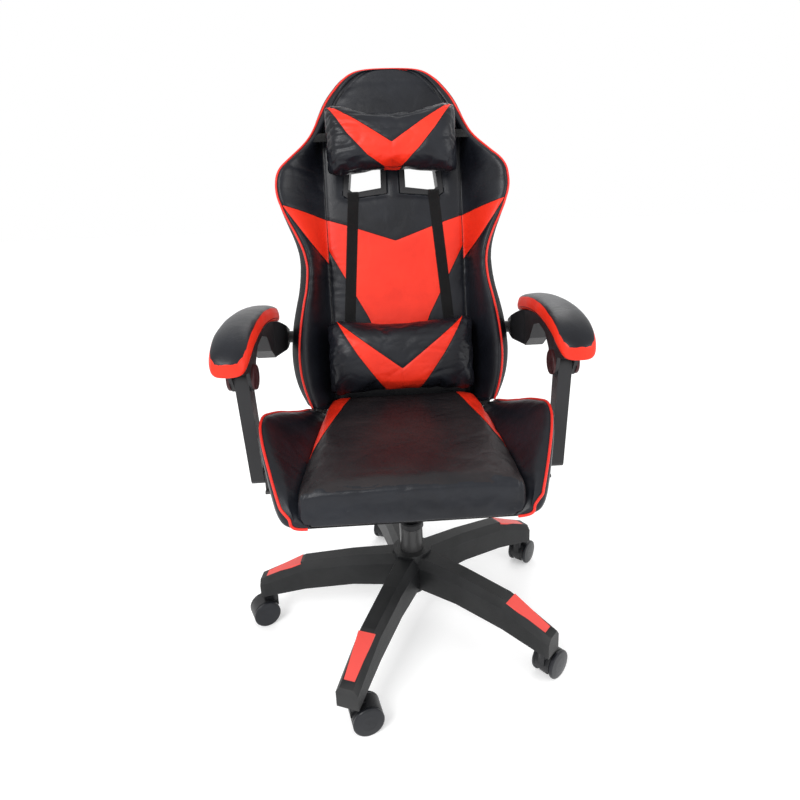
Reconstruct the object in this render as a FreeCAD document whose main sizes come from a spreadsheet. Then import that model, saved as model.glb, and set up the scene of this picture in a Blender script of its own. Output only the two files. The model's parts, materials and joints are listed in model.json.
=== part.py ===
"""Gaming chair on a five-arm castor base: parametric FreeCAD document, millimetres, +Z up.

The origin is on the floor under the gas column. The chair faces -Y, and +X is the sitter's left.
The backrest is drawn in a frame of its own ("back frame"): its origin is at back_datum_y,
back_datum_z, its Z runs up the backrest and it leans back by back_lean degrees.
"""
import FreeCAD, Part
import math
import operator
import os
import Sketcher

VEC = FreeCAD.Vector
doc = FreeCAD.newDocument("GamingChair")
sheet = doc.addObject("Spreadsheet::Sheet", "Sizes")

# Driving sizes: name, value in mm or degrees, meaning.
TABLE = (
    # five-arm base
    ("stem_circle", 320.0, "radius on which the castor stems stand"),
    ("base_turn", -112.6, "heading of the first arm, degrees from +X"),
    ("hub_radius", 42.0, "hub around the column"),
    ("hub_bottom", 92.0, "underside of the hub"),
    ("hub_top", 178.0, "top face of the hub"),
    ("arm_root_width", 58.0, "arm width at the hub"),
    ("arm_tip_width", 43.0, "arm width at the tip"),
    ("arm_root_top", 174.0, "arm top edge at the hub"),
    ("arm_knee_radius", 240.0, "where the arm top turns down"),
    ("arm_knee_top", 155.0, "arm top edge at the knee"),
    ("arm_tip_top", 110.0, "arm top edge at the tip"),
    ("arm_tip_bottom", 68.0, "underside of the arm tip"),
    ("arm_belly", 101.0, "underside of the arm between hub and knee"),
    ("arm_overhang", 21.0, "arm beyond the stem circle"),
    ("insert_length", 88.0, "coloured insert, along the arm"),
    ("insert_inner_width", 34.0, "insert width at its hub end"),
    ("insert_outer_width", 21.0, "insert width at its tip end"),
    ("insert_depth", 3.0, "insert thickness"),
    ("rib_wall", 7.0, "walls of the ribbed underside"),
    # castors
    ("stem_radius", 5.5, "castor stem"),
    ("stem_reach", 104.0, "top of the stem in the arm"),
    ("running_clearance", 0.05, "radial clearance of every running fit"),
    ("wheel_radius", 29.0, "castor wheel"),
    ("wheel_width", 16.0, "one wheel of the pair"),
    ("castor_trail", 22.0, "swivel axis to wheel axle"),
    ("fin_half", 7.0, "half thickness of the castor's middle wall"),
    ("castor_gap", 0.7, "side clearance of each wheel"),
    ("axle_radius", 4.0, "castor axle"),
    ("hood_gap", 1.3, "clearance between wheel and hood"),
    ("hood_wall", 2.6, "hood thickness"),
    ("wheel_step", 4.0, "how much smaller the wheel is where it runs under the hood"),
    ("rim_width", 7.0, "full-size outer rim of the wheel, beside the hood"),
    ("castor_headroom", 1.6, "gap between castor boss and arm"),
    # gas column
    ("column_radius", 25.0, "outer tube"),
    ("column_wall", 2.0, "outer tube wall"),
    ("column_bottom", 74.0, "bottom of the outer tube"),
    ("column_top", 296.0, "top of the outer tube"),
    ("bush_length", 60.0, "plastic guide bush"),
    ("cylinder_radius", 14.0, "sliding gas cylinder"),
    ("cylinder_wall", 1.6, "gas cylinder wall"),
    ("cylinder_bottom", 92.0, "bottom of the gas cylinder at lowest lift"),
    ("cylinder_top", 332.0, "top of the gas cylinder at lowest lift"),
    ("rod_radius", 5.0, "piston rod"),
    ("piston_level", 206.0, "height of the piston"),
    ("button_radius", 4.0, "valve button"),
    ("button_rise", 6.0, "how far the button stands out of the cylinder"),
    # tilt mechanism
    ("mech_half", 55.0, "half width of the mechanism housing"),
    ("mech_wall", 3.0, "sheet thickness of the housing"),
    ("mech_floor", 312.0, "underside of the housing"),
    ("mech_front", -100.0, "front end of the housing"),
    ("mech_rear", 86.0, "rear end of the housing"),
    ("mech_front_top", 361.0, "wall height of the housing at the front"),
    ("mech_rear_top", 345.0, "wall height of the housing at the rear"),
    ("pivot_level", 345.0, "height of the rocking pivot"),
    ("pivot_radius", 5.0, "rocking pivot pins"),
    ("spring_place", -76.0, "tension spring, front to back position"),
    ("spring_radius", 15.0, "spring, to the middle of its wire"),
    ("spring_wire", 1.8, "radius of the spring wire"),
    ("spring_top", 326.0, "tab that the spring pushes against"),
    ("spring_length", 36.0, "spring between knob and tab"),
    ("knob_radius", 24.0, "tension knob"),
    ("knob_height", 16.0, "tension knob"),
    ("lever_place", -30.0, "height lever, front to back position"),
    ("lever_level", 343.5, "height of the lever's axis"),
    ("lever_radius", 5.0, "lever rod"),
    ("lever_reach", 236.0, "end of the lever's grip"),
    ("lever_pivot_x", -46.0, "pivot pin of the height lever, left to right position"),
    ("lever_pin_radius", 2.5, "pivot pin of the height lever"),
    ("lever_lug_span", 11.0, "lever axis to the outer face of each lug"),
    # seat
    ("plate_thickness", 5.0, "seat plate of the mechanism"),
    ("plate_level", 367.0, "underside of the seat plate"),
    ("plate_half", 88.0, "half width of the seat plate"),
    ("board_height", 12.0, "lined plywood board under the cushion"),
    ("board_half", 186.0, "half width of the seat board"),
    ("board_front", -225.0, "front edge of the seat board"),
    ("board_rear", 190.0, "rear edge of the seat board"),
    ("bolt_radius", 4.0, "seat bolts"),
    ("bolt_x", 70.0, "seat bolts from the centre"),
    ("bolt_front", -88.0, "front seat bolts"),
    ("bolt_rear", 78.0, "rear seat bolts"),
    ("seat_top", 466.0, "cushion top at the column"),
    ("seat_half", 190.0, "half width of the cushion top"),
    ("wing_half", 279.0, "half width over the seat wings"),
    ("wing_top", 534.0, "top of the seat wings"),
    ("seat_front", -256.0, "front face of the cushion"),
    ("seat_rear", 197.0, "rear face of the cushion"),
    # backrest
    ("back_lean", 11.5, "lean of the backrest at rest, degrees"),
    ("back_datum_y", 235.0, "back frame origin"),
    ("back_datum_z", 425.0, "back frame origin"),
    ("back_front", -24.0, "spine face in the back frame"),
    ("back_rear", 30.0, "rear face of the foam in the back frame"),
    ("hoop_foot", 20.0, "level of the foot of the steel hoop in the back frame"),
    ("hoop_bend", 78.0, "level where the hoop's straight legs bend outwards"),
    ("low_bar", 66.0, "level of the lower cross tube"),
    ("high_bar", 470.0, "level of the upper cross tube"),
    ("back_wing", -102.0, "front edge of the side wings in the back frame"),
    ("back_seam", 160.0, "seam between spine and wing"),
    ("rear_panel", 6.0, "rear cover thickness"),
    ("recess_rim", 17.0, "foam left around the frame recess"),
    ("recess_depth", 23.0, "depth of the frame recess"),
    ("back_tube", 10.0, "radius of the backrest's frame tube"),
    ("tube_inset", 37.0, "frame tube inside the outline"),
    ("opening_low", 512.0, "lower edge of the two head openings"),
    ("opening_high", 588.0, "upper edge of the two head openings"),
    ("opening_inner", 29.0, "inner edge of a head opening"),
    ("opening_outer", 105.0, "outer edge of a head opening"),
    ("bezel_wall", 3.0, "sleeve of the opening's bezel"),
    ("bezel_flange", 13.0, "width of the bezel's flange"),
    ("bezel_proud", 3.5, "flange thickness"),
    ("strap_half", 13.0, "half width of the lumbar straps"),
    ("strap_thickness", 1.5, "lumbar and head straps"),
    ("soft_gap", 0.4, "air between soft parts that touch"),
    # pillows
    ("lumbar_low", 38.0, "bottom of the lumbar pillow in the back frame"),
    ("lumbar_high", 222.0, "top of the lumbar pillow in the back frame"),
    ("lumbar_half", 170.0, "half length of the lumbar pillow"),
    ("lumbar_depth", 100.0, "thickness of the lumbar pillow"),
    ("head_low", 535.0, "bottom of the head pillow in the back frame"),
    ("head_high", 705.0, "top of the head pillow in the back frame"),
    ("head_half", 150.0, "half length of the head pillow"),
    ("head_depth", 92.0, "thickness of the head pillow"),
    # recliner
    ("recline_y", 245.0, "recliner axis"),
    ("recline_z", 425.0, "recliner axis"),
    ("recliner_radius", 25.0, "recliner discs"),
    ("recliner_plate", 6.0, "recliner plate thickness"),
    ("recliner_pin", 6.0, "radius of the recliner pin"),
    ("side_gap", 1.0, "side clearance between moving plates"),
    ("cover_thickness", 15.0, "plastic recliner cover"),
    ("lever_blade", 7.0, "thickness of the recline lever's blade"),
    # armrests
    ("arm_centre", 300.0, "armrest centre from the chair's middle"),
    ("shoulder_y", 250.0, "armrest pivot on the backrest"),
    ("shoulder_z", 607.0, "armrest pivot on the backrest"),
    ("knuckle_y", -85.0, "strut pivot on the armrest"),
    ("knuckle_z", 612.0, "strut pivot on the armrest"),
    ("foot_y", -53.0, "strut pivot on the seat"),
    ("foot_z", 397.0, "strut pivot on the seat"),
    ("strut_half", 13.0, "half width of the strut"),
    ("strut_head", 18.0, "strut radius at the armrest"),
    ("strut_foot", 16.0, "strut radius at the seat"),
    ("foot_cover", 4.0, "strut wall that hides the end of the lower pin"),
    ("knuckle_radius", 25.0, "armrest knuckle"),
    ("cheek", 6.5, "knuckle cheek thickness"),
    ("cap_thickness", 6.0, "round caps of the knuckle"),
    ("link_pin", 5.0, "pins of the armrest linkage"),
    ("open_pivot_clearance", 3.2, "play of the pin in the strut's upper hole"),
    ("shoulder_pin", 8.0, "armrest pin on the backrest"),
    ("ear_inner", 266.0, "inner face of the armrest's rear ear"),
    ("pad_half", 34.0, "half width of the arm pad"),
    ("pad_thickness", 34.0, "arm pad"),
)


def as_size(item):
    """Return the item as a Size, so that plain numbers mix with named sizes."""
    if isinstance(item, Size):
        return item
    return Size(item, "%.6f" % item)


def join(left, right, operation, sign):
    """Combine two sizes into one that keeps its spreadsheet formula."""
    left = as_size(left)
    right = as_size(right)
    formula = "(%s %s %s)" % (left.formula, sign, right.formula)
    return Size(operation(left.value, right.value), formula)


class Size:
    """A number that also carries the spreadsheet formula it comes from."""

    def __init__(self, value, formula):
        self.value = float(value)
        self.formula = formula

    def __add__(self, other):
        return join(self, other, operator.add, "+")

    def __radd__(self, other):
        return join(other, self, operator.add, "+")

    def __sub__(self, other):
        return join(self, other, operator.sub, "-")

    def __rsub__(self, other):
        return join(other, self, operator.sub, "-")

    def __mul__(self, other):
        return join(self, other, operator.mul, "*")

    def __rmul__(self, other):
        return join(other, self, operator.mul, "*")

    def __truediv__(self, other):
        return join(self, other, operator.truediv, "/")

    def __neg__(self):
        return join(0.0, self, operator.sub, "-")


class Names:
    """Holds one Size per row of the table, as s.stem_circle and so on."""


s = Names()
for row, (alias, number, meaning) in enumerate(TABLE, 1):
    sheet.set("A%d" % row, alias)
    sheet.set("B%d" % row, "%.4f" % number)
    sheet.set("C%d" % row, meaning)
    sheet.setAlias("B%d" % row, alias)
    setattr(s, alias, Size(number, "Sizes." + alias))
doc.recompute()

nodes = []


def keep(thing, label, place=None):
    """Register an object as a finished sub-part, optionally placed."""
    thing.Label = label
    if place is not None:
        thing.Placement = place
    nodes.append(thing)
    return thing


def bind(thing, prop, item):
    """Bind one property of an object to a size."""
    thing.setExpression(prop, as_size(item).formula)


# ---------------------------------------------------------------- basic solids

def block(name, x_range, y_range, z_range):
    """A box between two bounds on each axis."""
    box = doc.addObject("Part::Box", name)
    ranges = (x_range, y_range, z_range)
    for axis, prop, (low, high) in zip("xyz", ("Length", "Width", "Height"), ranges):
        bind(box, prop, as_size(high) - low)
        bind(box, "Placement.Base." + axis, low)
    return box


def round_bar(name, radius, start, length, axis="z"):
    """A cylinder that starts at a point and runs along +X, +Y or +Z."""
    bar = doc.addObject("Part::Cylinder", name)
    bind(bar, "Radius", radius)
    bind(bar, "Height", length)
    turns = {"x": (VEC(0, 1, 0), 90), "y": (VEC(1, 0, 0), -90), "z": (VEC(0, 0, 1), 0)}
    bar.Placement = FreeCAD.Placement(VEC(), FreeCAD.Rotation(*turns[axis]))
    for letter, item in zip("xyz", start):
        bind(bar, "Placement.Base." + letter, item)
    return bar


def cut(name, base, tool):
    """The base without the tool."""
    result = doc.addObject("Part::Cut", name)
    result.Base = base
    result.Tool = tool
    return result


def common(name, first, second):
    """What two solids share."""
    result = doc.addObject("Part::Common", name)
    result.Base = first
    result.Tool = second
    return result


def fuse(name, *parts):
    """Several solids as one."""
    result = doc.addObject("Part::MultiFuse", name)
    result.Shapes = list(parts)
    return result


def group(name, *parts):
    """Separate solids of one kind that share a node."""
    result = doc.addObject("Part::Compound", name)
    result.Links = list(parts)
    return result


def frozen(name, shape, place=None):
    """A Part::Feature for a shape that is worked out in code."""
    feature = doc.addObject("Part::Feature", name)
    feature.Shape = shape
    if place is not None:
        feature.Placement = place
    return feature


# ------------------------------------------------------------ sketched bodies

def new_body(name):
    return doc.addObject("PartDesign::Body", name)


def origin_part(body, role):
    """One of the body's own origin planes or axes."""
    return [f for f in body.Origin.OriginFeatures if f.Role == role][0]


def draw_outline(sketch, outline):
    """Add a closed polygon whose corners are bound to sizes."""
    first = sketch.GeometryCount
    count = len(outline)
    for index, (across, up) in enumerate(outline):
        to_across, to_up = outline[(index + 1) % count]
        start = VEC(as_size(across).value, as_size(up).value, 0)
        end = VEC(as_size(to_across).value, as_size(to_up).value, 0)
        sketch.addGeometry(Part.LineSegment(start, end), False)
    for index in range(count):
        this_line = first + index
        next_line = first + (index + 1) % count
        sketch.addConstraint(Sketcher.Constraint("Coincident", this_line, 2, next_line, 1))
    for index, corner in enumerate(outline):
        for kind, item in zip(("DistanceX", "DistanceY"), corner):
            item = as_size(item)
            rule = Sketcher.Constraint(kind, -1, 1, first + index, 1, item.value)
            number = sketch.addConstraint(rule)
            sketch.setExpression("Constraints[%d]" % number, item.formula)


def draw_circle(sketch, circle):
    """Add a circle (across, up, radius) bound to sizes."""
    across, up, radius = [as_size(item) for item in circle]
    curve = Part.Circle(VEC(across.value, up.value, 0), VEC(0, 0, 1), radius.value)
    index = sketch.addGeometry(curve, False)
    rules = (
        (Sketcher.Constraint("DistanceX", -1, 1, index, 3, across.value), across),
        (Sketcher.Constraint("DistanceY", -1, 1, index, 3, up.value), up),
        (Sketcher.Constraint("Radius", index, radius.value), radius),
    )
    for rule, item in rules:
        number = sketch.addConstraint(rule)
        sketch.setExpression("Constraints[%d]" % number, item.formula)


def new_sketch(body, plane, outlines=(), circles=(), lift=0.0, name="Sketch"):
    """A sketch on one of the body's origin planes, moved along its normal by lift."""
    sketch = body.newObject("Sketcher::SketchObject", body.Name + name)
    sketch.AttachmentSupport = (origin_part(body, plane), [""])
    sketch.MapMode = "FlatFace"
    bind(sketch, "AttachmentOffset.Base.z", lift)
    for outline in outlines:
        draw_outline(sketch, outline)
    for circle in circles:
        draw_circle(sketch, circle)
    return sketch


def plate(name, plane, outlines, start, thickness, circles=()):
    """A flat piece between start and start + thickness along X (YZ), Y (XZ) or Z (XY)."""
    body = new_body(name)
    lift = start
    if plane == "XZ_Plane":
        lift = -(as_size(start) + thickness)
    profile = new_sketch(body, plane, outlines, circles, lift)
    pad = body.newObject("PartDesign::Pad", name + "Pad")
    pad.Profile = profile
    bind(pad, "Length", thickness)
    return body


def turned(name, outline):
    """A piece turned about Z from (radius, height) corners."""
    body = new_body(name)
    profile = new_sketch(body, "XZ_Plane", [outline])
    revolution = body.newObject("PartDesign::Revolution", name + "Turn")
    revolution.Profile = profile
    revolution.ReferenceAxis = (profile, ["V_Axis"])
    revolution.Angle = 360.0
    return body


def mirrored_x(shape):
    """A copy of a shape on the other side of the chair."""
    return shape.mirror(VEC(), VEC(1, 0, 0))


# ------------------------------------------------------------- shaped solids

def ruled_loft(sections):
    """A solid through closed polygons that all have the same number of corners."""
    wires = [Part.makePolygon([VEC(*p) for p in section + section[:1]]) for section in sections]
    return Part.makeLoft(wires, True, True)


def between(stations, position):
    """Linear value from a list of (position, value) pairs."""
    for (low, first), (high, second) in zip(stations, stations[1:]):
        if low <= position <= high:
            return first + (second - first) * (position - low) / (high - low)
    raise ValueError("position outside the stations")


def rounded_pipe(corners, bend, radius):
    """A round bar along straight runs whose corners are arcs of one radius."""
    edges = []
    start = corners[0]
    for index in range(1, len(corners) - 1):
        corner = corners[index]
        back = (corners[index - 1] - corner).normalize()
        ahead = (corners[index + 1] - corner).normalize()
        half = (math.pi - back.getAngle(ahead)) / 2.0
        trim = bend * math.tan(half)
        middle = (back + ahead).normalize() * (bend / math.cos(half) - bend)
        entry = corner + back * trim
        leave = corner + ahead * trim
        edges.append(Part.LineSegment(start, entry).toShape())
        edges.append(Part.Arc(entry, corner + middle, leave).toShape())
        start = leave
    edges.append(Part.LineSegment(start, corners[-1]).toShape())
    path = Part.Wire(edges)
    ring = Part.Wire([Part.Circle(corners[0], corners[1] - corners[0], radius).toShape()])
    return path.makePipeShell([ring], True, True)


def pillow_shape(half, low, high, back, depth, squareness=2.6):
    """A plump pillow: rounded cross sections that shrink towards both ends."""
    sections = []
    steps = 16
    levels = (-1.0, -0.9, -0.72, -0.4, 0.0, 0.4, 0.72, 0.9, 1.0)
    for level in levels:
        plump = 0.62 + 0.38 * (1 - abs(level) ** 2.5)
        tall = 0.90 + 0.10 * (1 - abs(level) ** 3)
        section = []
        for step in range(steps):
            angle = 2 * math.pi * (step + 0.5) / steps
            across = abs(math.cos(angle)) ** (2 / squareness)
            along = abs(math.sin(angle)) ** (2 / squareness)
            y = math.copysign(across, math.cos(angle)) * depth / 2 * plump
            z = math.copysign(along, math.sin(angle)) * (high - low) / 2 * tall
            section.append((level * half, back - depth / 2 + y, (low + high) / 2 + z))
        sections.append(section)
    return ruled_loft(sections)


# ------------------------------------------------------------------- the base

ARMS = 5
ARM_STEP = 360.0 / ARMS


def arm_heading(index):
    return s.base_turn.value + ARM_STEP * index


def about_z(angle, point=VEC()):
    return FreeCAD.Placement(point, FreeCAD.Rotation(VEC(0, 0, 1), angle))


def arm_section(width, low, high, shoulder=0.62):
    """Arm cross section: flat top, sloping shoulders and upright sides."""
    edge = high - (high - low) * 0.28
    return [
        (-width / 2, low),
        (width / 2, low),
        (width / 2, edge),
        (width / 2 * shoulder, high),
        (-width / 2 * shoulder, high),
        (-width / 2, edge),
    ]


def insert_angle():
    """Downward slope of the arm top beyond the knee, degrees."""
    run = (s.stem_circle + s.arm_overhang - s.arm_knee_radius).value
    return math.degrees(math.atan2((s.arm_knee_top - s.arm_tip_top).value, run))


def insert_outline(grow):
    """Trapezoid of the insert, in the sloping facet, starting at the knee."""
    start = 8.0 - as_size(grow)
    end = 8.0 + s.insert_length + grow
    inner = s.insert_inner_width / 2 + grow
    outer = s.insert_outer_width / 2 + grow
    return [(start, -inner), (end, -outer), (end, outer), (start, inner)]


def sloped_sketch(body, outline, name):
    """A sketch lying in the sloping top facet of an arm that points along +X."""
    sketch = new_sketch(body, "XY_Plane", [outline], name=name)
    turn = FreeCAD.Rotation(VEC(0, 1, 0), insert_angle())
    knee = VEC(s.arm_knee_radius.value, 0, s.arm_knee_top.value)
    sketch.AttachmentOffset = FreeCAD.Placement(knee, turn)
    bind(sketch, "AttachmentOffset.Base.x", s.arm_knee_radius)
    bind(sketch, "AttachmentOffset.Base.z", s.arm_knee_top)
    return sketch


def five_times(body, feature, name):
    """Repeat a feature round the column and make it the body's tip."""
    pattern = body.newObject("PartDesign::PolarPattern", name)
    pattern.Originals = [feature]
    pattern.Axis = (origin_part(body, "Z_Axis"), [""])
    pattern.Angle = 360.0
    pattern.Occurrences = ARMS
    body.Tip = pattern
    doc.recompute()
    return pattern


def pocket_into(body, sketch, depth, name, upwards=False):
    """A pocket from the sketch, downwards or upwards."""
    pocket = body.newObject("PartDesign::Pocket", name)
    pocket.Profile = sketch
    pocket.Reversed = upwards
    bind(pocket, "Length", depth)
    before = body.Shape.Volume
    doc.recompute()
    if body.Shape.Volume >= before:
        raise ValueError(name + " removed nothing")
    return pocket


def make_base():
    """Moulded star: hub, five arms with ribbed undersides, bores and insert recesses."""
    body = new_body("base_star")
    disc = new_sketch(body, "XY_Plane", circles=[(0, 0, s.hub_radius)], lift=s.hub_bottom, name="Hub")
    hub = body.newObject("PartDesign::Pad", "HubPad")
    hub.Profile = disc
    bind(hub, "Length", s.hub_top - s.hub_bottom)
    doc.recompute()
    end = s.stem_circle + s.arm_overhang
    low_knee = s.arm_belly + (s.arm_tip_bottom - s.arm_belly) * 0.35
    waist = s.arm_tip_width + 2.0
    stations = (
        (s.hub_radius * 0.3, s.arm_root_width, s.arm_belly, s.arm_root_top),
        (s.arm_knee_radius * 0.55, s.arm_root_width - 10.0, s.arm_belly, s.arm_knee_top + 13.0),
        (s.arm_knee_radius, waist, low_knee, s.arm_knee_top),
        (end, s.arm_tip_width, s.arm_tip_bottom, s.arm_tip_top),
    )
    sketches = []
    for index, (radius, width, low, high) in enumerate(stations):
        outline = arm_section(width, low, high)
        sketches.append(new_sketch(body, "YZ_Plane", [outline], lift=radius, name="Arm%d" % index))
    arm = body.newObject("PartDesign::AdditiveLoft", "ArmLoft")
    arm.Profile = sketches[0]
    arm.Sections = sketches[1:]
    arm.Ruled = True
    doc.recompute()
    five_times(body, arm, "Arms")
    recess = sloped_sketch(body, insert_outline(0.3), "Recess")
    five_times(body, pocket_into(body, recess, s.insert_depth, "InsertRecess"), "Recesses")
    bore = new_sketch(body, "XY_Plane", circles=[(0, 0, s.column_radius)], lift=s.hub_top, name="Bore")
    pocket_into(body, bore, s.hub_top - s.hub_bottom, "ColumnBore")
    stem = new_sketch(
        body, "XY_Plane", circles=[(s.stem_circle, 0, s.stem_radius + s.running_clearance)], name="Stem")
    five_times(body, pocket_into(body, stem, s.stem_reach + 1.0, "StemBore", True), "StemBores")
    cells = []
    cell_start = s.hub_radius + s.rib_wall
    cell_end = s.stem_circle - s.stem_radius - 2 * s.rib_wall
    cell_length = (cell_end - cell_start - 2 * s.rib_wall) / 3
    root_half = s.arm_root_width / 2 - 2 * s.rib_wall
    tip_half = s.arm_tip_width / 2 - s.rib_wall
    for index in range(3):
        near = cell_start + (cell_length + s.rib_wall) * index
        far = near + cell_length
        near_half = root_half + (tip_half - root_half) * ((2.0 - index) / 2)
        cells.append([(near, -near_half), (far, -near_half), (far, near_half), (near, near_half)])
    ribs = new_sketch(body, "XY_Plane", cells, name="Cells")
    depth = s.arm_tip_top - s.rib_wall
    five_times(body, pocket_into(body, ribs, depth, "RibCells", True), "RibPattern")
    keep(body, "base_star", about_z(s.base_turn.value))


def make_inserts():
    """Coloured trapezoid inserts, one in the sloping top of each arm."""
    blank = new_body("InsertBlank")
    sketch = sloped_sketch(blank, insert_outline(0.0), "Outline")
    pad = blank.newObject("PartDesign::Pad", "InsertPad")
    pad.Profile = sketch
    pad.Reversed = True
    bind(pad, "Length", s.insert_depth)
    doc.recompute()
    copies = []
    for index in range(ARMS):
        copy = blank.Shape.copy()
        copy.rotate(VEC(), VEC(0, 0, 1), arm_heading(index))
        copies.append(copy)
    keep(frozen("base_inserts", Part.makeCompound(copies)), "base_inserts")


# -------------------------------------------------------------------- castors

# Where each castor trails, degrees from +X, in the order of the arms.
CASTOR_HEADINGS = (15.0, 40.0, 50.0, 60.0, -155.0)


def make_castor(index):
    """One twin-wheel castor: hood, steel stem with axle, and two closed wheels."""
    number = index + 1
    stand = arm_heading(index)
    spot = VEC(s.stem_circle.value, 0, 0)
    spot = FreeCAD.Rotation(VEC(0, 0, 1), stand).multVec(spot)
    place = about_z(CASTOR_HEADINGS[index], spot)
    boss_top = s.arm_tip_bottom - s.castor_headroom
    step = s.wheel_radius - s.wheel_step
    inner = step + s.hood_gap
    outer = inner + s.hood_wall
    span = s.fin_half + s.wheel_width - s.rim_width
    middle = (s.castor_trail, -s.fin_half, s.wheel_radius)
    fin_disc = round_bar("FinDisc%d" % number, inner + 1.0, middle, 2 * s.fin_half, "y")
    neck = block("Neck%d" % number, (-8.0, s.castor_trail), (-s.fin_half, s.fin_half),
                 (s.wheel_radius + 6.0, boss_top - 4.0))
    boss_low = s.wheel_radius * 2 - 8.0
    boss = round_bar("Boss%d" % number, 9.5, (0, 0, boss_low), boss_top - boss_low)
    shell_start = (s.castor_trail, -span, s.wheel_radius)
    drum = round_bar("Drum%d" % number, outer, shell_start, 2 * span, "y")
    hollow = round_bar("Hollow%d" % number, inner, shell_start, 2 * span, "y")
    arch = cut("Arch%d" % number, drum, hollow)
    reach = s.castor_trail + outer
    lid = block("Lid%d" % number, (-outer, reach + 1.0), (-span, span),
                (s.wheel_radius - 6.0, s.wheel_radius * 3))
    arch_top = common("ArchTop%d" % number, arch, lid)
    raw = fuse("HoodRaw%d" % number, fin_disc, neck, boss, arch_top)
    stem_low = s.wheel_radius + 14.0
    stem_hole = round_bar("StemHole%d" % number, s.stem_radius, (0, 0, stem_low), 60.0)
    axle_hole = round_bar("AxleHole%d" % number, s.axle_radius, middle, 2 * s.fin_half, "y")
    hood = cut("castor_hood_%d" % number, cut("HoodBored%d" % number, raw, stem_hole), axle_hole)
    keep(hood, "castor_hood_%d" % number, place)
    stem = round_bar("Stem%d" % number, s.stem_radius, (0, 0, stem_low), s.stem_reach - stem_low)
    axle_half = s.fin_half + s.castor_gap + s.wheel_width - 3.0
    axle = round_bar("Axle%d" % number, s.axle_radius,
                     (s.castor_trail, -axle_half, s.wheel_radius), 2 * axle_half, "y")
    keep(group("castor_pins_%d" % number, stem, axle), "castor_pins_%d" % number, place)
    tread = s.wheel_radius
    bore = s.axle_radius + s.running_clearance
    wide = s.wheel_width
    rim = wide - s.rim_width
    profile = [
        (bore, 0.0),
        (step, 0.0),
        (step, rim),
        (tread - 1.0, rim),
        (tread, rim + 1.0),
        (tread, wide - 2.5),
        (tread - 1.0, wide - 1.0),
        (tread - 3.0, wide),
        (tread * 0.5, wide + 1.2),
        (0.0, wide + 1.5),
        (0.0, wide - 2.5),
        (bore, wide - 2.5),
    ]
    for side, sign in (("left", 1), ("right", -1)):
        name = "castor_wheel_%d_%s" % (number, side)
        wheel = turned(name, profile)
        turn = FreeCAD.Rotation(VEC(1, 0, 0), -90 * sign)
        reach = sign * (s.fin_half + s.castor_gap).value
        offset = VEC(s.castor_trail.value, reach, s.wheel_radius.value)
        keep(wheel, name, place.multiply(FreeCAD.Placement(offset, turn)))


# ----------------------------------------------------------------- gas column

def make_column():
    """Outer tube, guide bush, thrust bearing, piston rod, gas cylinder and valve button."""
    inside = s.column_radius - s.column_wall
    floor = s.column_bottom + 4.0
    keep(turned("column_tube", [
        (s.rod_radius + 1.0, s.column_bottom),
        (s.column_radius - 1.5, s.column_bottom),
        (s.column_radius, s.column_bottom + 1.5),
        (s.column_radius, s.column_top),
        (inside, s.column_top),
        (inside, floor),
        (s.rod_radius + 1.0, floor),
    ]), "column_tube")
    bush_low = s.column_top - s.bush_length
    slide = s.cylinder_radius + s.running_clearance
    keep(turned("column_bush", [
        (slide, bush_low),
        (inside, bush_low),
        (inside, s.column_top),
        (s.column_radius, s.column_top),
        (s.column_radius, s.column_top + 2.5),
        (slide, s.column_top + 2.5),
    ]), "column_bush")
    keep(turned("thrust_bearing", [
        (s.rod_radius + s.running_clearance, floor),
        (13.0, floor),
        (13.0, floor + 6.0),
        (s.rod_radius + s.running_clearance, floor + 6.0),
    ]), "thrust_bearing")
    bore = s.cylinder_radius - s.cylinder_wall
    piston = bore - s.running_clearance
    keep(turned("piston_rod", [
        (0.0, s.column_bottom - 1.0),
        (s.rod_radius, s.column_bottom - 1.0),
        (s.rod_radius, floor + 6.0),
        (s.rod_radius + 3.0, floor + 6.0),
        (s.rod_radius + 3.0, floor + 8.0),
        (s.rod_radius, floor + 8.0),
        (s.rod_radius, s.piston_level),
        (piston, s.piston_level),
        (piston, s.piston_level + 12.0),
        (0.0, s.piston_level + 12.0),
    ]), "piston_rod")
    neck = s.rod_radius + s.running_clearance
    seat = s.button_radius + s.running_clearance
    head = s.cylinder_top - 22.0
    keep(turned("gas_cylinder", [
        (neck, s.cylinder_bottom),
        (s.cylinder_radius - 1.0, s.cylinder_bottom),
        (s.cylinder_radius, s.cylinder_bottom + 1.0),
        (s.cylinder_radius, s.cylinder_top),
        (seat, s.cylinder_top),
        (seat, head + 4.0),
        (3.0, head + 4.0),
        (3.0, head),
        (bore, head),
        (bore, s.cylinder_bottom + 10.0),
        (neck, s.cylinder_bottom + 10.0),
    ]), "gas_cylinder")
    button_low = s.cylinder_top - 9.0
    keep(round_bar("valve_button", s.button_radius, (0, 0, button_low),
                   s.button_rise + 9.0), "valve_button")


# ------------------------------------------------------------ tilt mechanism

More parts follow.
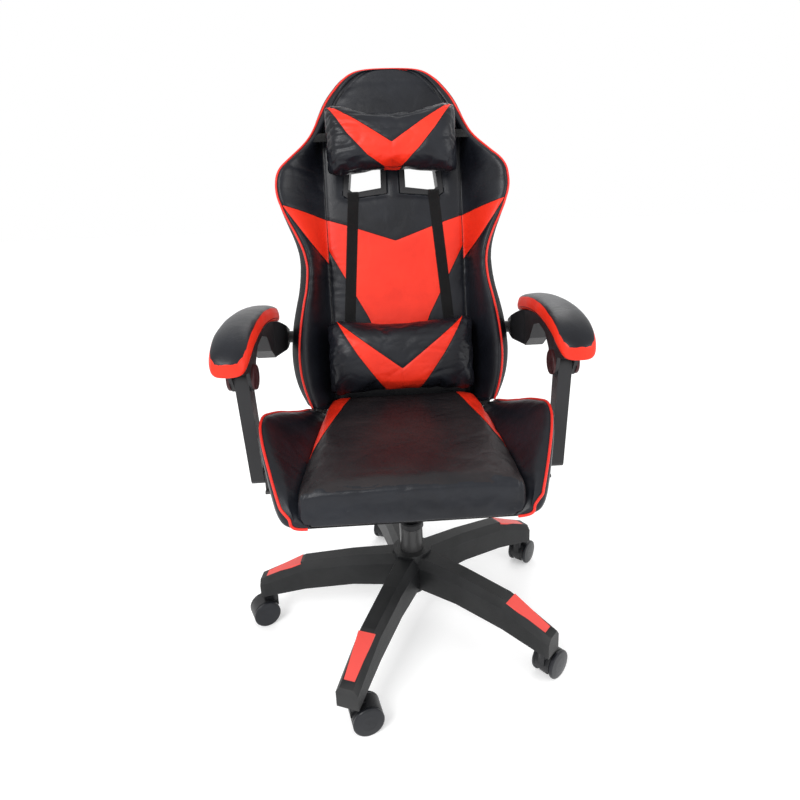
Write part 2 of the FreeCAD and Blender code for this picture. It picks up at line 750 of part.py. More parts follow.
def make_mechanism():
    """Sheet housing with column socket, pivot pins, tension spring and knob, height lever."""
    side = [
        (s.mech_front, s.mech_floor),
        (s.mech_rear, s.mech_floor),
        (s.mech_rear, s.mech_rear_top),
        (-12.0, s.mech_front_top),
        (s.mech_front, s.mech_front_top),
    ]
    outer = plate("MechOuter", "YZ_Plane", [side], -s.mech_half, 2 * s.mech_half)
    floor_top = s.mech_floor + s.mech_wall
    room = block("MechRoom", (-s.mech_half + s.mech_wall, s.mech_half - s.mech_wall),
                 (s.mech_front + s.mech_wall, s.mech_rear - s.mech_wall),
                 (floor_top, s.mech_front_top + 5.0))
    tray = cut("MechTray", outer, room)
    socket = round_bar("MechSocket", s.cylinder_radius + 5.0, (0, 0, s.mech_floor),
                       s.cylinder_top - s.mech_floor - 2.0)
    tab = block("SpringTab", (-s.mech_half + 1.0, s.mech_half - 1.0),
                (s.mech_front + 1.0, s.spring_place + 30.0), (s.spring_top, s.spring_top + s.mech_wall))
    lug_front = s.lever_place - s.lever_lug_span
    lug_rear = s.lever_place + s.lever_lug_span
    lugs = []
    for name, low_y in (("LugFront", lug_front), ("LugRear", lug_rear - s.mech_wall)):
        lugs.append(block(name, (-s.mech_half + 1.0, s.lever_pivot_x + 4.0), (low_y, low_y + s.mech_wall),
                          (s.lever_level - 7.5, s.lever_level + 7.5)))
    raw = fuse("MechRaw", tray, socket, tab, *lugs)
    bore = round_bar("SocketBore", s.cylinder_radius, (0, 0, s.mech_floor), 60.0)
    well = round_bar("SpringWell", s.knob_radius + 2.0, (0, s.spring_place, s.mech_floor), s.mech_wall)
    screw = block("ScrewSlot", (-7.0, 7.0), (s.spring_place - 12.0, s.spring_place + 7.0),
                  (s.spring_top, s.spring_top + s.mech_wall))
    pivot_bore = round_bar("TiltBore", s.pivot_radius, (-s.mech_half, 0, s.pivot_level),
                           2 * s.mech_half, "x")
    lug_bore = round_bar("LugBore", s.lever_pin_radius + s.running_clearance,
                         (s.lever_pivot_x, lug_front, s.lever_level), 2 * s.lever_lug_span, "y")
    notch = block("LeverNotch", (-s.mech_half - 1.0, -s.mech_half + s.mech_wall + 1.0),
                  (s.lever_place - s.lever_radius - 3.0, s.lever_place + s.lever_radius + 3.0),
                  (s.lever_level - s.lever_radius - 3.0, s.mech_front_top + 5.0))
    tools = fuse("MechTools", bore, well, screw, notch, pivot_bore, lug_bore)
    keep(cut("mech_housing", raw, tools), "mech_housing")
    pin_length = s.mech_wall + 12.0
    pins = []
    for name, start in (("PinLeft", s.mech_half - s.mech_wall), ("PinRight", -s.mech_half - 12.0)):
        pins.append(round_bar(name, s.pivot_radius, (start, 0, s.pivot_level), pin_length, "x"))
    keep(group("tilt_pins", *pins), "tilt_pins")
    keep(tension_spring(), "tension_spring")
    knob_top = s.spring_top - s.spring_length
    knob = turned("tension_knob", [
        (0.0, knob_top - s.knob_height),
        (s.knob_radius - 3.0, knob_top - s.knob_height),
        (s.knob_radius, knob_top - s.knob_height + 3.0),
        (s.knob_radius, knob_top - 3.0),
        (s.knob_radius - 2.0, knob_top),
        (5.0, knob_top),
        (5.0, s.plate_level - 0.5),
        (0.0, s.plate_level - 0.5),
    ])
    keep(knob, "tension_knob", FreeCAD.Placement(VEC(0, s.spring_place.value, 0), FreeCAD.Rotation()))
    button_top = s.cylinder_top + s.button_rise
    tongue = block("LeverTongue", (-7.0, 7.0), (s.lever_place - 4.0, 7.0),
                   (button_top + 0.3, button_top + 5.0))
    grip_start = s.lever_reach - 70.0
    shaft = round_bar("LeverShaft", s.lever_radius, (-grip_start - 40.0, s.lever_place, s.lever_level),
                      grip_start + 45.0, "x")
    pin = round_bar("LeverPin", s.lever_pin_radius, (s.lever_pivot_x, lug_front, s.lever_level),
                    2 * s.lever_lug_span, "y")
    keep(fuse("height_lever_rod", tongue, shaft, pin), "height_lever_rod")
    grip = turned("GripBlank", [
        (s.lever_radius, 0.0),
        (8.0, 0.0),
        (9.5, 6.0),
        (9.5, 62.0),
        (7.0, 70.0),
        (0.0, 70.0),
        (0.0, 40.0),
        (s.lever_radius, 40.0),
    ])
    grip_spot = VEC(-grip_start.value, s.lever_place.value, s.lever_level.value)
    grip_place = FreeCAD.Placement(grip_spot, FreeCAD.Rotation(VEC(0, 1, 0), -90))
    keep(grip, "height_lever_grip", grip_place)


SPRING_TURNS = 4
ARCS_PER_TURN = 8


def tension_spring():
    """Coil spring around the knob's screw: round wire swept along a rising row of arcs."""
    wire = s.spring_wire.value
    radius = s.spring_radius.value
    rise = s.spring_length.value - 2 * wire - 1.0
    step = math.pi / ARCS_PER_TURN
    points = []
    for index in range(2 * ARCS_PER_TURN * SPRING_TURNS + 1):
        turn = index * step
        height = rise * turn / (2 * math.pi * SPRING_TURNS)
        points.append(VEC(radius * math.cos(turn), radius * math.sin(turn), height))
    edges = []
    for index in range(0, len(points) - 1, 2):
        edges.append(Part.Arc(*points[index:index + 3]).toShape())
    path = Part.Wire(edges)
    start = path.Edges[0]
    ring = Part.Wire([Part.Circle(points[0], start.tangentAt(start.FirstParameter), wire).toShape()])
    lift = (s.spring_top - s.spring_length).value + wire + 0.5
    place = FreeCAD.Placement(VEC(0, s.spring_place.value, lift), FreeCAD.Rotation())
    return frozen("tension_spring", path.makePipeShell([ring], True, True), place)


# ----------------------------------------------------------------------- seat

def make_seat_hardware():
    """Upper plate with pivot ears, bolts and the board that carries the cushion."""
    top = s.plate_level + s.plate_thickness
    panel = block("PlatePanel", (-s.plate_half, s.plate_half), (s.mech_front - 6.0, s.mech_rear + 12.0),
                  (s.plate_level, top))
    pieces = [panel]
    ear_x = s.mech_half + 5.0
    for name, low in (("EarLeft", ear_x), ("EarRight", -ear_x - 4.0)):
        pieces.append(block(name, (low, low + 4.0), (-13.0, 13.0), (s.pivot_level - 12.0, top)))
    raw = fuse("PlateRaw", *pieces)
    pivot = round_bar("PivotHole", s.pivot_radius + s.running_clearance,
                      (-s.plate_half, 0, s.pivot_level), 2 * s.plate_half, "x")
    places = [(x, y) for x in (-s.bolt_x, s.bolt_x) for y in (s.bolt_front, s.bolt_rear)]
    holes = [pivot]
    bolts = []
    board_top = top + s.board_height
    for index, (x, y) in enumerate(places):
        holes.append(round_bar("BoltHole%d" % index, s.bolt_radius + 0.3, (x, y, s.plate_level), 30.0))
        shank = round_bar("Shank%d" % index, s.bolt_radius, (x, y, s.plate_level),
                          board_top - s.plate_level)
        head = round_bar("BoltHead%d" % index, s.bolt_radius * 1.7, (x, y, s.plate_level - 4.0), 4.0)
        bolts.append(fuse("Bolt%d" % index, shank, head))
    keep(cut("seat_plate", raw, fuse("PlateHoles", *holes)), "seat_plate")
    keep(group("seat_bolts", *bolts), "seat_bolts")
    outline = rectangle(-s.board_half, s.board_half, s.board_front, s.board_rear)
    holes = [(x, y, s.bolt_radius + 0.3) for x, y in places]
    board = plate("seat_board", "XY_Plane", [outline], top, s.board_height, holes)
    keep(board, "seat_board")


def rectangle(low_x, high_x, low_y, high_y):
    return [(low_x, low_y), (high_x, low_y), (high_x, high_y), (low_x, high_y)]


def make_seat_cushion():
    """Bucket cushion: a flat middle between two side wings that rise and dip."""
    low = (s.plate_level + s.plate_thickness + s.board_height).value
    top = s.seat_top.value
    crest = s.wing_top.value
    half = s.seat_half.value
    wide = s.wing_half.value
    front = s.seat_front.value
    rear = s.seat_rear.value
    # front to back: half widths of the base, the side, the wing's edge, the crease and the top,
    # then the heights of the side, the wing's edge, the crease and the top
    stations = (
        (front, half + 8, half + 14, half + 8, half + 3, half - 4, 402, 430, 442, top - 11),
        (front + 16, wide - 64, wide - 50, wide - 52, half + 10, half, 402, crest - 112, 444, top - 7),
        (front + 66, wide - 51, wide - 30, wide - 27, half + 11, half + 1, 430, crest - 60, 455, top - 5),
        (front + 136, wide - 36, wide - 14, wide - 1, half + 10, half, 440, crest - 14, 458, top - 2),
        (front + 171, wide - 34, wide - 10, wide, half + 8, half - 2, 440, crest, 460, top),
        (front + 256, wide - 36, wide - 14, wide - 10, half + 4, half - 5, 430, crest - 36, 462, top + 2),
        (front + 316, wide - 44, wide - 24, wide - 22, half - 2, half - 10, 420, crest - 64, 463, top + 4),
        (rear - 72, wide - 54, wide - 42, wide - 42, half - 8, half - 16, 415, crest - 93, 452, top + 5),
        (rear, wide - 71, wide - 64, wide - 64, half - 24, half - 34, 410, crest - 106, 440, top + 3),
    )
    sections = []
    for y, base, side, edge, crease, flat, side_z, edge_z, crease_z, top_z in stations:
        right = [(base, low), (side, side_z), (edge, edge_z), (edge - 9, edge_z + 2),
                 (crease, crease_z), (flat, top_z)]
        left = [(-x, z) for x, z in reversed(right)]
        sections.append([(x, y, z) for x, z in right + left])
    keep(frozen("seat_cushion", ruled_loft(sections)), "seat_cushion")


def make_strut_brackets():
    """Steel angles under the seat board that carry the armrest struts."""
    top = s.plate_level + s.plate_thickness
    inner_face = s.arm_centre - s.strut_half - s.side_gap - 6.0
    reach = 24.0
    sides = []
    for sign, label in ((1, "Left"), (-1, "Right")):
        flat = block("BracketFlat" + label, ordered(sign, s.board_half - 60.0, inner_face + 6.0),
                     (s.foot_y - reach, s.foot_y + reach), (top - 6.0, top))
        tab = block("BracketTab" + label, ordered(sign, inner_face, inner_face + 6.0),
                    (s.foot_y - 16.0, s.foot_y + 16.0), (top - 6.0, s.foot_z + 14.0))
        pin_end = s.arm_centre + s.strut_half - s.foot_cover
        pin = bar_outwards("FootPin" + label, sign, s.link_pin, inner_face, pin_end, s.foot_y, s.foot_z)
        sides.append(fuse("StrutBracket" + label, flat, tab, pin))
    keep(group("strut_brackets", *sides), "strut_brackets")


def ordered(sign, near, far):
    """The X range from near to far on the +X side, or its mirror on the -X side."""
    if sign > 0:
        return (near, far)
    return (-as_size(far), -as_size(near))


def bar_outwards(name, sign, radius, near, far, y, z):
    """A round bar along X between two distances from the chair's middle."""
    low, high = ordered(sign, near, far)
    return round_bar(name, radius, (low, y, z), as_size(high) - low, "x")


# ------------------------------------------------------------------- backrest

# Up the backrest: half width of the outline.
OUTLINE = (
    (14, 210), (45, 221), (80, 229), (125, 233), (165, 231), (205, 226), (250, 217), (290, 207),
    (330, 202), (360, 205), (390, 214), (420, 228), (457, 247), (490, 259), (515, 262), (545, 258),
    (566, 245), (590, 222), (620, 194), (645, 180), (685, 164), (722, 148), (750, 125), (768, 109),
    (782, 88), (790, 68),
)
# Up the backrest: how much of the wings' depth is there, 1 for all of it.
WING_RISE = (
    (14, 0.92), (60, 1.0), (545, 1.0), (566, 0.92), (590, 0.72), (620, 0.45), (645, 0.26),
    (685, 0.1), (722, 0.0), (790, 0.0),
)
# Up the backrest: how far the side gussets flare out behind the front edge.
FLARE = ((14, 26), (60, 34), (125, 36), (330, 33), (420, 18), (470, 11), (790, 8))
BACK_ORIGIN = VEC(0, s.back_datum_y.value, s.back_datum_z.value)
BACK_PLACE = FreeCAD.Placement(BACK_ORIGIN, FreeCAD.Rotation(VEC(1, 0, 0), -s.back_lean.value))


def in_back(y, z):
    """Chair coordinates (y, z) of a point, turned into the back frame."""
    local = BACK_PLACE.inverse().multVec(VEC(0, y, z))
    return local.y, local.z


def back_section(level, grow=0.0):
    """Horizontal section of the backrest foam in the back frame."""
    half = between(OUTLINE, level) + grow
    rise = between(WING_RISE, level)
    spine = s.back_front.value - grow
    rear = s.back_rear.value + grow
    front = spine + (s.back_wing.value - s.back_front.value) * rise
    seam = min(s.back_seam.value, half - 26)
    flare = between(FLARE, level)
    right = [
        (half + flare - 16, rear),
        (half + flare, rear - 22),
        (half + flare * 0.6, min(spine - 6, front + 50)),
        (half, front),
        (half - 8, front - 1),
        (seam, spine),
    ]
    left = [(-x, y) for x, y in reversed(right)]
    return [(x, y, level) for x, y in right + left]


def panel_outline(inset):
    """Closed outline of the backrest in the back frame's XZ plane, moved inwards."""
    right = [(half + between(FLARE, level) - inset, level) for level, half in OUTLINE]
    left = [(-x, z) for x, z in reversed(right)]
    return right + left


def slab(outline, low_y, high_y):
    """A prism between two depths of the back frame from an (x, z) outline."""
    corners = [VEC(x, low_y, z) for x, z in outline]
    face = Part.Face(Part.makePolygon(corners + corners[:1]))
    return face.extrude(VEC(0, high_y - low_y, 0))


def opening_outline(sign, grow=0.0):
    """Corners of one head opening: a slightly leaning four-sided window."""
    low = s.opening_low.value - grow
    high = s.opening_high.value + grow
    inner = s.opening_inner.value - grow
    outer = s.opening_outer.value + grow
    corners = [
        (inner, low + 9), (outer - 12, low), (outer, low + 8), (outer - 7, high - 9),
        (outer - 17, high), (inner - 1, high),
    ]
    return [(sign * x, z) for x, z in corners]


def rear_hollow():
    """The recess behind the spine foam that takes the frame, open at the bottom."""
    inset = s.recess_rim.value
    kept = [(half, level) for level, half in OUTLINE if level <= 750]
    right = [(half - inset, level) for half, level in kept]
    right[0] = (right[0][0], -20)
    left = [(-x, z) for x, z in reversed(right)]
    deep = s.back_rear.value - s.recess_depth.value
    return slab(right + left, deep, s.back_rear.value + 1)


def mount_shape(sign):
    """Armrest carrier on one side: a plate in the foam and a stepped pin outwards."""
    y, z = in_back(s.shoulder_y.value, s.shoulder_z.value)
    plate_x = between(OUTLINE, 180) - s.tube_inset.value + s.back_tube.value
    low = plate_x if sign > 0 else -plate_x - 6
    bracket = Part.makeBox(6, s.back_rear.value - 2 - y + 18, 48, VEC(low, y - 18, z - 24))
    steps = (
        (14.0, plate_x + 6, s.ear_inner.value - s.side_gap.value),
        (s.shoulder_pin.value, s.ear_inner.value - s.side_gap.value, s.ear_inner.value + 17),
        (13.0, s.ear_inner.value + 17, s.ear_inner.value + 22),
    )
    result = bracket
    for radius, near, far in steps:
        step = Part.makeCylinder(radius, far - near, VEC(sign * near, y, z), VEC(sign, 0, 0))
        result = result.fuse(step)
    return result.removeSplitter()


def recliner_room(sign):
    """Space for the recliner discs in the lower corner of the foam."""
    y, z = in_back(s.recline_y.value, s.recline_z.value)
    near = recliner_inner() + s.recliner_plate.value
    radius = s.recliner_radius.value + 4
    return Part.makeCylinder(radius, 80, VEC(sign * near, y, z), VEC(sign, 0, 0))


def recliner_inner():
    """Inner face of the recliner's back plates: the outside of the hoop's straight leg."""
    return tube_x(s.hoop_foot.value) + s.back_tube.value


def make_back_foam():
    """Moulded foam with wings, recess, head openings and hardware room; the armrest carriers in it."""
    solid = ruled_loft([back_section(level) for level, half in OUTLINE])
    tools = [rear_hollow()]
    for sign in (1, -1):
        hole = opening_outline(sign, s.bezel_wall.value)
        tools.append(slab(hole, s.back_front.value - 20, s.back_rear.value + 20))
        tools.append(mount_shape(sign))
        tools.append(recliner_room(sign))
        tools.append(recliner_plate(sign))
    keep(frozen("back_foam", solid.cut(tools), BACK_PLACE), "back_foam")
    mounts = Part.makeCompound([mount_shape(1), mount_shape(-1)])
    keep(frozen("arm_mounts", mounts, BACK_PLACE), "arm_mounts")


def make_rear_cover():
    """Rear panel that closes the frame recess."""
    rear = s.back_rear.value
    outline = [(x, max(z, 42)) for x, z in panel_outline(19.0)]
    outline = [p for index, p in enumerate(outline) if p != outline[index - 1]]
    panel = slab(outline, rear, rear + s.rear_panel.value)
    tools = [slab(opening_outline(sign, s.bezel_wall.value), rear - 5, rear + 20) for sign in (1, -1)]
    keep(frozen("back_rear_cover", panel.cut(tools), BACK_PLACE), "back_rear_cover")


def tube_x(level):
    return between(OUTLINE, level) - s.tube_inset.value


# Corners of the hoop up the backrest; below the first of them its legs stand straight.
HOOP_LEVELS = (125, 330, 500, 635, 735)


def hoop_side():
    """Corners of the hoop's middle line on the +X side, from its foot upwards."""
    depth = s.back_rear.value - s.back_tube.value - 1.0
    foot = tube_x(s.hoop_foot.value)
    corners = [VEC(foot, depth, s.hoop_foot.value), VEC(foot, depth, s.hoop_bend.value)]
    return corners + [VEC(tube_x(level), depth, level) for level in HOOP_LEVELS]


def make_back_frame():
    """Steel hoop with two cross tubes."""
    right = hoop_side()
    left = [VEC(-p.x, p.y, p.z) for p in reversed(right)]
    hoop = rounded_pipe(right + left, 40.0, s.back_tube.value)
    bars = []
    for level in (s.low_bar.value, s.high_bar.value):
        x = between([(p.z, p.x) for p in right], level)
        bars.append(Part.makeCylinder(7, 2 * x, VEC(-x, right[0].y, level), VEC(1, 0, 0)))
    keep(frozen("back_frame", hoop.fuse(bars), BACK_PLACE), "back_frame")


def make_bezels():
    """Moulded bezels: a sleeve through the backrest with a flange on the spine face."""
    front = s.back_front.value
    rear = s.back_rear.value + s.rear_panel.value
    wall = s.bezel_wall.value
    bezels = []
    for sign in (1, -1):
        sleeve = slab(opening_outline(sign, wall), front, rear)
        flange = slab(opening_outline(sign, s.bezel_flange.value), front - s.bezel_proud.value, front)
        hole = slab(opening_outline(sign), front - 10, rear + 10)
        bezels.append(sleeve.fuse(flange).cut(hole).removeSplitter())
    keep(frozen("opening_bezels", Part.makeCompound(bezels), BACK_PLACE), "opening_bezels")


def make_straps():
    """Lumbar straps down the spine face and the elastic head strap round the neck."""
    front = s.back_front.value
    thick = s.strap_thickness.value
    wide = s.strap_half.value
    straps = []
    for sign in (1, -1):
        top_x, low_x = sign * 95, sign * 131
        top_z = s.opening_low.value - s.bezel_flange.value - 3
        corners = [(top_x - wide, top_z), (top_x + wide, top_z), (low_x + wide, 52), (low_x - wide, 52)]
        straps.append(slab(corners, front - thick, front))
    keep(frozen("lumbar_straps", Part.makeCompound(straps), BACK_PLACE), "lumbar_straps")
    low, high = 621, 644
    outer = ruled_loft([back_section(level, thick) for level in (low, high)])
    inner = ruled_loft([back_section(level) for level, half in OUTLINE])
    rear = s.back_rear.value
    behind = slab([(-300, low - 5), (300, low - 5), (300, high + 5), (-300, high + 5)],
                  rear, rear + s.rear_panel.value + 3)
    front_side = outer.cut([inner, behind])
    reach = between(OUTLINE, high) + between(FLARE, high) - 16
    back_side = Part.makeBox(2 * reach, thick, high - low, VEC(-reach, rear + s.rear_panel.value, low))
    keep(frozen("head_strap", Part.makeCompound([front_side, back_side]), BACK_PLACE), "head_strap")


def make_pillows():
    """Lumbar and head pillows in front of the spine face."""
    gap = s.soft_gap.value
    lumbar_back = s.back_front.value - s.strap_thickness.value - gap
    lumbar = pillow_shape(s.lumbar_half.value, s.lumbar_low.value, s.lumbar_high.value,
                          lumbar_back, s.lumbar_depth.value, 2.8)
    keep(frozen("lumbar_pillow", lumbar, BACK_PLACE), "lumbar_pillow")
    head_back = s.back_front.value - max(s.strap_thickness.value, s.bezel_proud.value) - gap
    head = pillow_shape(s.head_half.value, s.head_low.value, s.head_high.value,
                        head_back, s.head_depth.value, 2.5)
    keep(frozen("head_pillow", head, BACK_PLACE), "head_pillow")


# ------------------------------------------------------------------- recliner

def disc_plate(outline, centre, radius, near, thickness, sign, hole):
    """A flat plate with a round end, in a YZ plane, with a pin hole in the round end."""
    start = near if sign > 0 else -near - thickness
    corners = [VEC(start, y, z) for y, z in outline]
    arm = Part.Face(Part.makePolygon(corners + corners[:1])).extrude(VEC(thickness, 0, 0))
    y, z = centre
    disc = Part.makeCylinder(radius, thickness, VEC(start, y, z), VEC(1, 0, 0))
    bore = Part.makeCylinder(hole, thickness, VEC(start, y, z), VEC(1, 0, 0))
    return arm.fuse(disc).cut(bore).removeSplitter()


def recliner_plate(sign):
    """Back-side recliner plate, in the back frame: a disc with an upright along the hoop's leg."""
    centre = in_back(s.recline_y.value, s.recline_z.value)
    fit = s.recliner_pin.value + s.running_clearance.value
    deep = s.back_rear.value - s.recess_depth.value + 1
    top = s.hoop_bend.value - 6
    upright = [(deep, centre[1]), (deep + 20, centre[1]), (deep + 20, top), (deep, top)]
    return disc_plate(upright, centre, s.recliner_radius.value, recliner_inner(),
                      s.recliner_plate.value, sign, fit)


def make_recliner():
    """Recliner plates on the back frame and on the seat board, with covers and lever."""
    radius = s.recliner_radius.value
    thick = s.recliner_plate.value
    y, z = s.recline_y.value, s.recline_z.value
    inner = recliner_inner()
    seat_plates = []
    covers = []
    under = (s.plate_level + s.plate_thickness).value
    rear = s.board_rear.value
    ramp = [
        (rear - 110, under), (rear - 110, under - 18), (rear + 14, under - 18),
        (y + radius * 0.8, z - radius * 0.6), (y - radius * 0.8, z + radius * 0.6),
        (rear + 12, under + 14), (rear + 6, under),
    ]
    outside = inner + thick + s.side_gap.value
    for sign in (1, -1):
        seat_side = disc_plate(ramp, (y, z), radius, outside, thick, sign, 0.5)
        rail = between_rail(sign, outside + thick, rear, under)
        pin = Part.makeCylinder(s.recliner_pin.value, thick + s.side_gap.value + 3.0,
                                VEC(sign * (inner - 3.0), y, z), VEC(sign, 0, 0))
        seat_plates.append(seat_side.fuse([rail, pin]).removeSplitter())
        near = outside + thick
        cover = Part.makeCylinder(radius + 3, s.cover_thickness.value, VEC(sign * near, y, z),
                                  VEC(sign, 0, 0))
        rims = [edge for edge in cover.Edges if abs(abs(edge.CenterOfMass.x) - near) > 1.0]
        covers.append(cover.makeFillet(4.0, [e for e in rims if len(e.Vertexes) == 1]))
    pair = Part.makeCompound([recliner_plate(1), recliner_plate(-1)])
    back_side = frozen("recliner_back_plates", pair, BACK_PLACE)
    keep(back_side, "recliner_back_plates")
    keep(frozen("recliner_seat_plates", Part.makeCompound(seat_plates)), "recliner_seat_plates")
    keep(frozen("recliner_covers", Part.makeCompound(covers)), "recliner_covers")
    near = outside + thick + s.cover_thickness.value + s.side_gap.value
    far = near + 4 + s.lever_blade.value
    grip_y, grip_z = y - 40, z - 49
    hub = Part.makeCylinder(9, far - near, VEC(-near, y, z), VEC(-1, 0, 0))
    blade_outline = [(y - 8, z + 6), (y + 9, z - 2), (grip_y + 8, grip_z - 7), (grip_y - 9, grip_z + 2)]
    corners = [VEC(-far, a, b) for a, b in blade_outline]
    blade = Part.Face(Part.makePolygon(corners + corners[:1])).extrude(VEC(s.lever_blade.value, 0, 0))
    grip = Part.makeCylinder(9, 46, VEC(4 - far, grip_y, grip_z), VEC(-1, 0, 0))
    ends = [edge for edge in grip.Edges if len(edge.Vertexes) == 1]
    lever = hub.fuse([blade, grip.makeFillet(3.0, ends)]).removeSplitter()
    keep(frozen("recline_lever", lever), "recline_lever")


def between_rail(sign, outer, rear, under):
    """Cross strip that ties a seat-side recliner plate to the seat board."""
    inner = s.board_half.value - 50
    low = inner if sign > 0 else -outer
    return Part.makeBox(outer - inner, 60, 5, VEC(low, rear - 95, under - 5))


# ------------------------------------------------------------------- armrests

# Along the armrest, front to back: top of the pad above its highest point (negative is lower)
# and half width as a share of pad_half.
PAD_LINE = (
    (-186, -52, 0.72), (-172, -33, 0.94), (-140, -17, 1.05), (-95, -6, 1.06), (-40, 0, 1.0),
    (30, 0, 0.92), (110, -8, 0.86), (180, -22, 0.82), (206, -32, 0.76), (214, -40, 0.62),
)
PAD_CREST = 716.0


def pad_bottom(index):
    """Underside of the pad at one station: the pad thins at both ends."""
    y, drop, width = PAD_LINE[index]
    thin = 0.55 if index in (0, len(PAD_LINE) - 1) else 1.0
    return PAD_CREST + drop - s.pad_thickness.value * thin


def make_arm(sign, side):
    """One armrest: core with knuckle and ear, soft pad, knuckle caps and strut."""
    centre = s.arm_centre.value
    sections = []
    for index, (y, drop, width) in enumerate(PAD_LINE):
        half = s.pad_half.value * width
        low = pad_bottom(index)
        top = PAD_CREST + drop
        high = top - (top - low) * 0.28
        profile = [
            (-half * 0.8, low), (half * 0.8, low), (half, low + 5), (half, high), (half * 0.72, top - 2),
            (half * 0.3, top), (-half * 0.3, top), (-half * 0.72, top - 2), (-half, high), (-half, low + 5),
        ]
        sections.append([(sign * centre + x, y, z) for x, z in profile])
    keep(frozen("arm_pad_" + side, ruled_loft(sections)), "arm_pad_" + side)
    top_line = [(y, pad_bottom(index)) for index, (y, drop, width) in enumerate(PAD_LINE)][1:-1]
    ky, kz = s.knuckle_y.value, s.knuckle_z.value
    py, pz = s.shoulder_y.value, s.shoulder_z.value
    reach = s.knuckle_radius.value
    low_line = [
        (py + 22, pz + 14), (py + 20, pz - 16), (py - 30, pz - 24), (py - 110, pz - 20),
        (py - 150, pz + 6), (66, 652), (20, 664), (-25, 656), (ky + reach + 6, kz + 20),
        (ky + reach, kz),
        (ky + 14, kz - 21), (ky - 8, kz - reach + 1), (ky - reach, kz), (ky - reach - 8, kz + 18),
        (ky - 60, kz + 22), (ky - 78, kz + 28),
    ]
    outline = top_line + low_line
    half = s.strut_half.value + 0.6 + s.cheek.value
    wide = 120.0
    corners = [VEC(-wide, y, z) for y, z in outline]
    side_view = Part.Face(Part.makePolygon(corners + corners[:1])).extrude(VEC(2 * wide, 0, 0))
    ear_in = s.ear_inner.value - centre
    plan = [
        (-half, -182), (half, -182), (half, 135), (ear_in + 34, 200), (ear_in + 15, 238),
        (ear_in + 15, 282),
        (ear_in, 282), (ear_in, 232), (-half, 150),
    ]
    corners = [VEC(x, y, 500) for x, y in plan]
    plan_view = Part.Face(Part.makePolygon(corners + corners[:1])).extrude(VEC(0, 0, 300))
    slot_half = s.strut_half.value + 0.6
    slot = Part.makeBox(2 * slot_half, 92, 64, VEC(-slot_half, ky - 50, kz - 42))
    shoulder = Part.makeCylinder(
        s.shoulder_pin.value + s.running_clearance.value, 200, VEC(-100, py, pz), VEC(1, 0, 0))
    cross = Part.makeCylinder(s.link_pin.value, 200, VEC(-100, ky, kz), VEC(1, 0, 0))
    core = side_view.common(plan_view).cut([slot, shoulder, cross])
    if sign < 0:
        core = mirrored_x(core)
    place = FreeCAD.Placement(VEC(sign * centre, 0, 0), FreeCAD.Rotation())
    keep(frozen("arm_core_" + side, core, place), "arm_core_" + side)
    caps = []
    for turn in (1, -1):
        cap = Part.makeCylinder(reach - 1, s.cap_thickness.value, VEC(turn * half, ky, kz),
                                VEC(turn, 0, 0))
        rims = [e for e in cap.Edges if len(e.Vertexes) == 1 and abs(e.CenterOfMass.x) > half + 1]
        cap = cap.makeFillet(3.0, rims)
        stud = Part.makeCylinder(s.link_pin.value, half, VEC(0, ky, kz), VEC(turn, 0, 0))
        caps.append(cap.fuse(stud).removeSplitter())
    keep(frozen("knuckle_caps_" + side, Part.makeCompound(caps), place), "knuckle_caps_" + side)
    keep(frozen("strut_" + side, strut_shape(sign), place), "strut_" + side)


def strut_shape(sign):
    """Flat strut, round at both ends; the lower hole is closed on the outer side."""
    half = s.strut_half.value
    top = VEC(0, s.knuckle_y.value, s.knuckle_z.value)
    foot = VEC(0, s.foot_y.value, s.foot_z.value)
    along = (top - foot).normalize()
    across = VEC(0, along.z, -along.y)
    head, end = s.strut_head.value, s.strut_foot.value
    corners = [top + across * head, top - across * head, foot - across * end, foot + across * end]
    corners = [VEC(-half, p.y, p.z) for p in corners]
    bar = Part.Face(Part.makePolygon(corners + corners[:1])).extrude(VEC(2 * half, 0, 0))
    ends = []
    holes = []
    clearances = (s.open_pivot_clearance.value, s.running_clearance.value)
    depths = (2 * half, 2 * half - s.foot_cover.value + s.side_gap.value)
    for point, radius, clearance, depth in zip((top, foot), (head, end), clearances, depths):
        at = VEC(-sign * half, point.y, point.z)
        ends.append(Part.makeCylinder(radius, 2 * half, at, VEC(sign, 0, 0)))
        holes.append(Part.makeCylinder(s.link_pin.value + clearance, depth, at, VEC(sign, 0, 0)))
    return bar.fuse(ends).removeSplitter().cut(holes)


# ------------------------------------------------------------ build and write

def check_document():
    """Stop if any object failed or any sub-part's shape is empty or broken."""
    doc.recompute()
    for thing in doc.Objects:
        if "Invalid" in thing.State or "Error" in thing.State:
            raise RuntimeError("failed object: " + thing.Name)
    for node in nodes:
        if node.Shape.isNull() or not node.Shape.isValid():
            raise RuntimeError("broken shape: " + node.Label)


def write_parts():
    os.makedirs("parts", exist_ok=True)
    for old in os.listdir("parts"):
        if old.endswith(".step"):
            os.remove(os.path.join("parts", old))
    for node in nodes:
        node.Shape.exportStep("parts/%s.step" % node.Label)


make_base()
make_inserts()
for arm in range(ARMS):
    make_castor(arm)
make_column()
make_mechanism()
make_seat_hardware()
make_seat_cushion()
make_strut_brackets()
make_back_foam()
make_rear_cover()
make_back_frame()
make_bezels()
make_straps()
make_pillows()
make_recliner()
make_arm(1, "left")
make_arm(-1, "right")
check_document()
write_parts()
print(len(nodes), "sub-parts written")
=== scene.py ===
"""Looks of the gaming chair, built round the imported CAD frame. Tables are in millimetres."""
import json
import math

import bmesh
import bpy
from mathutils import Matrix, Vector, noise
from mathutils.bvhtree import BVHTree


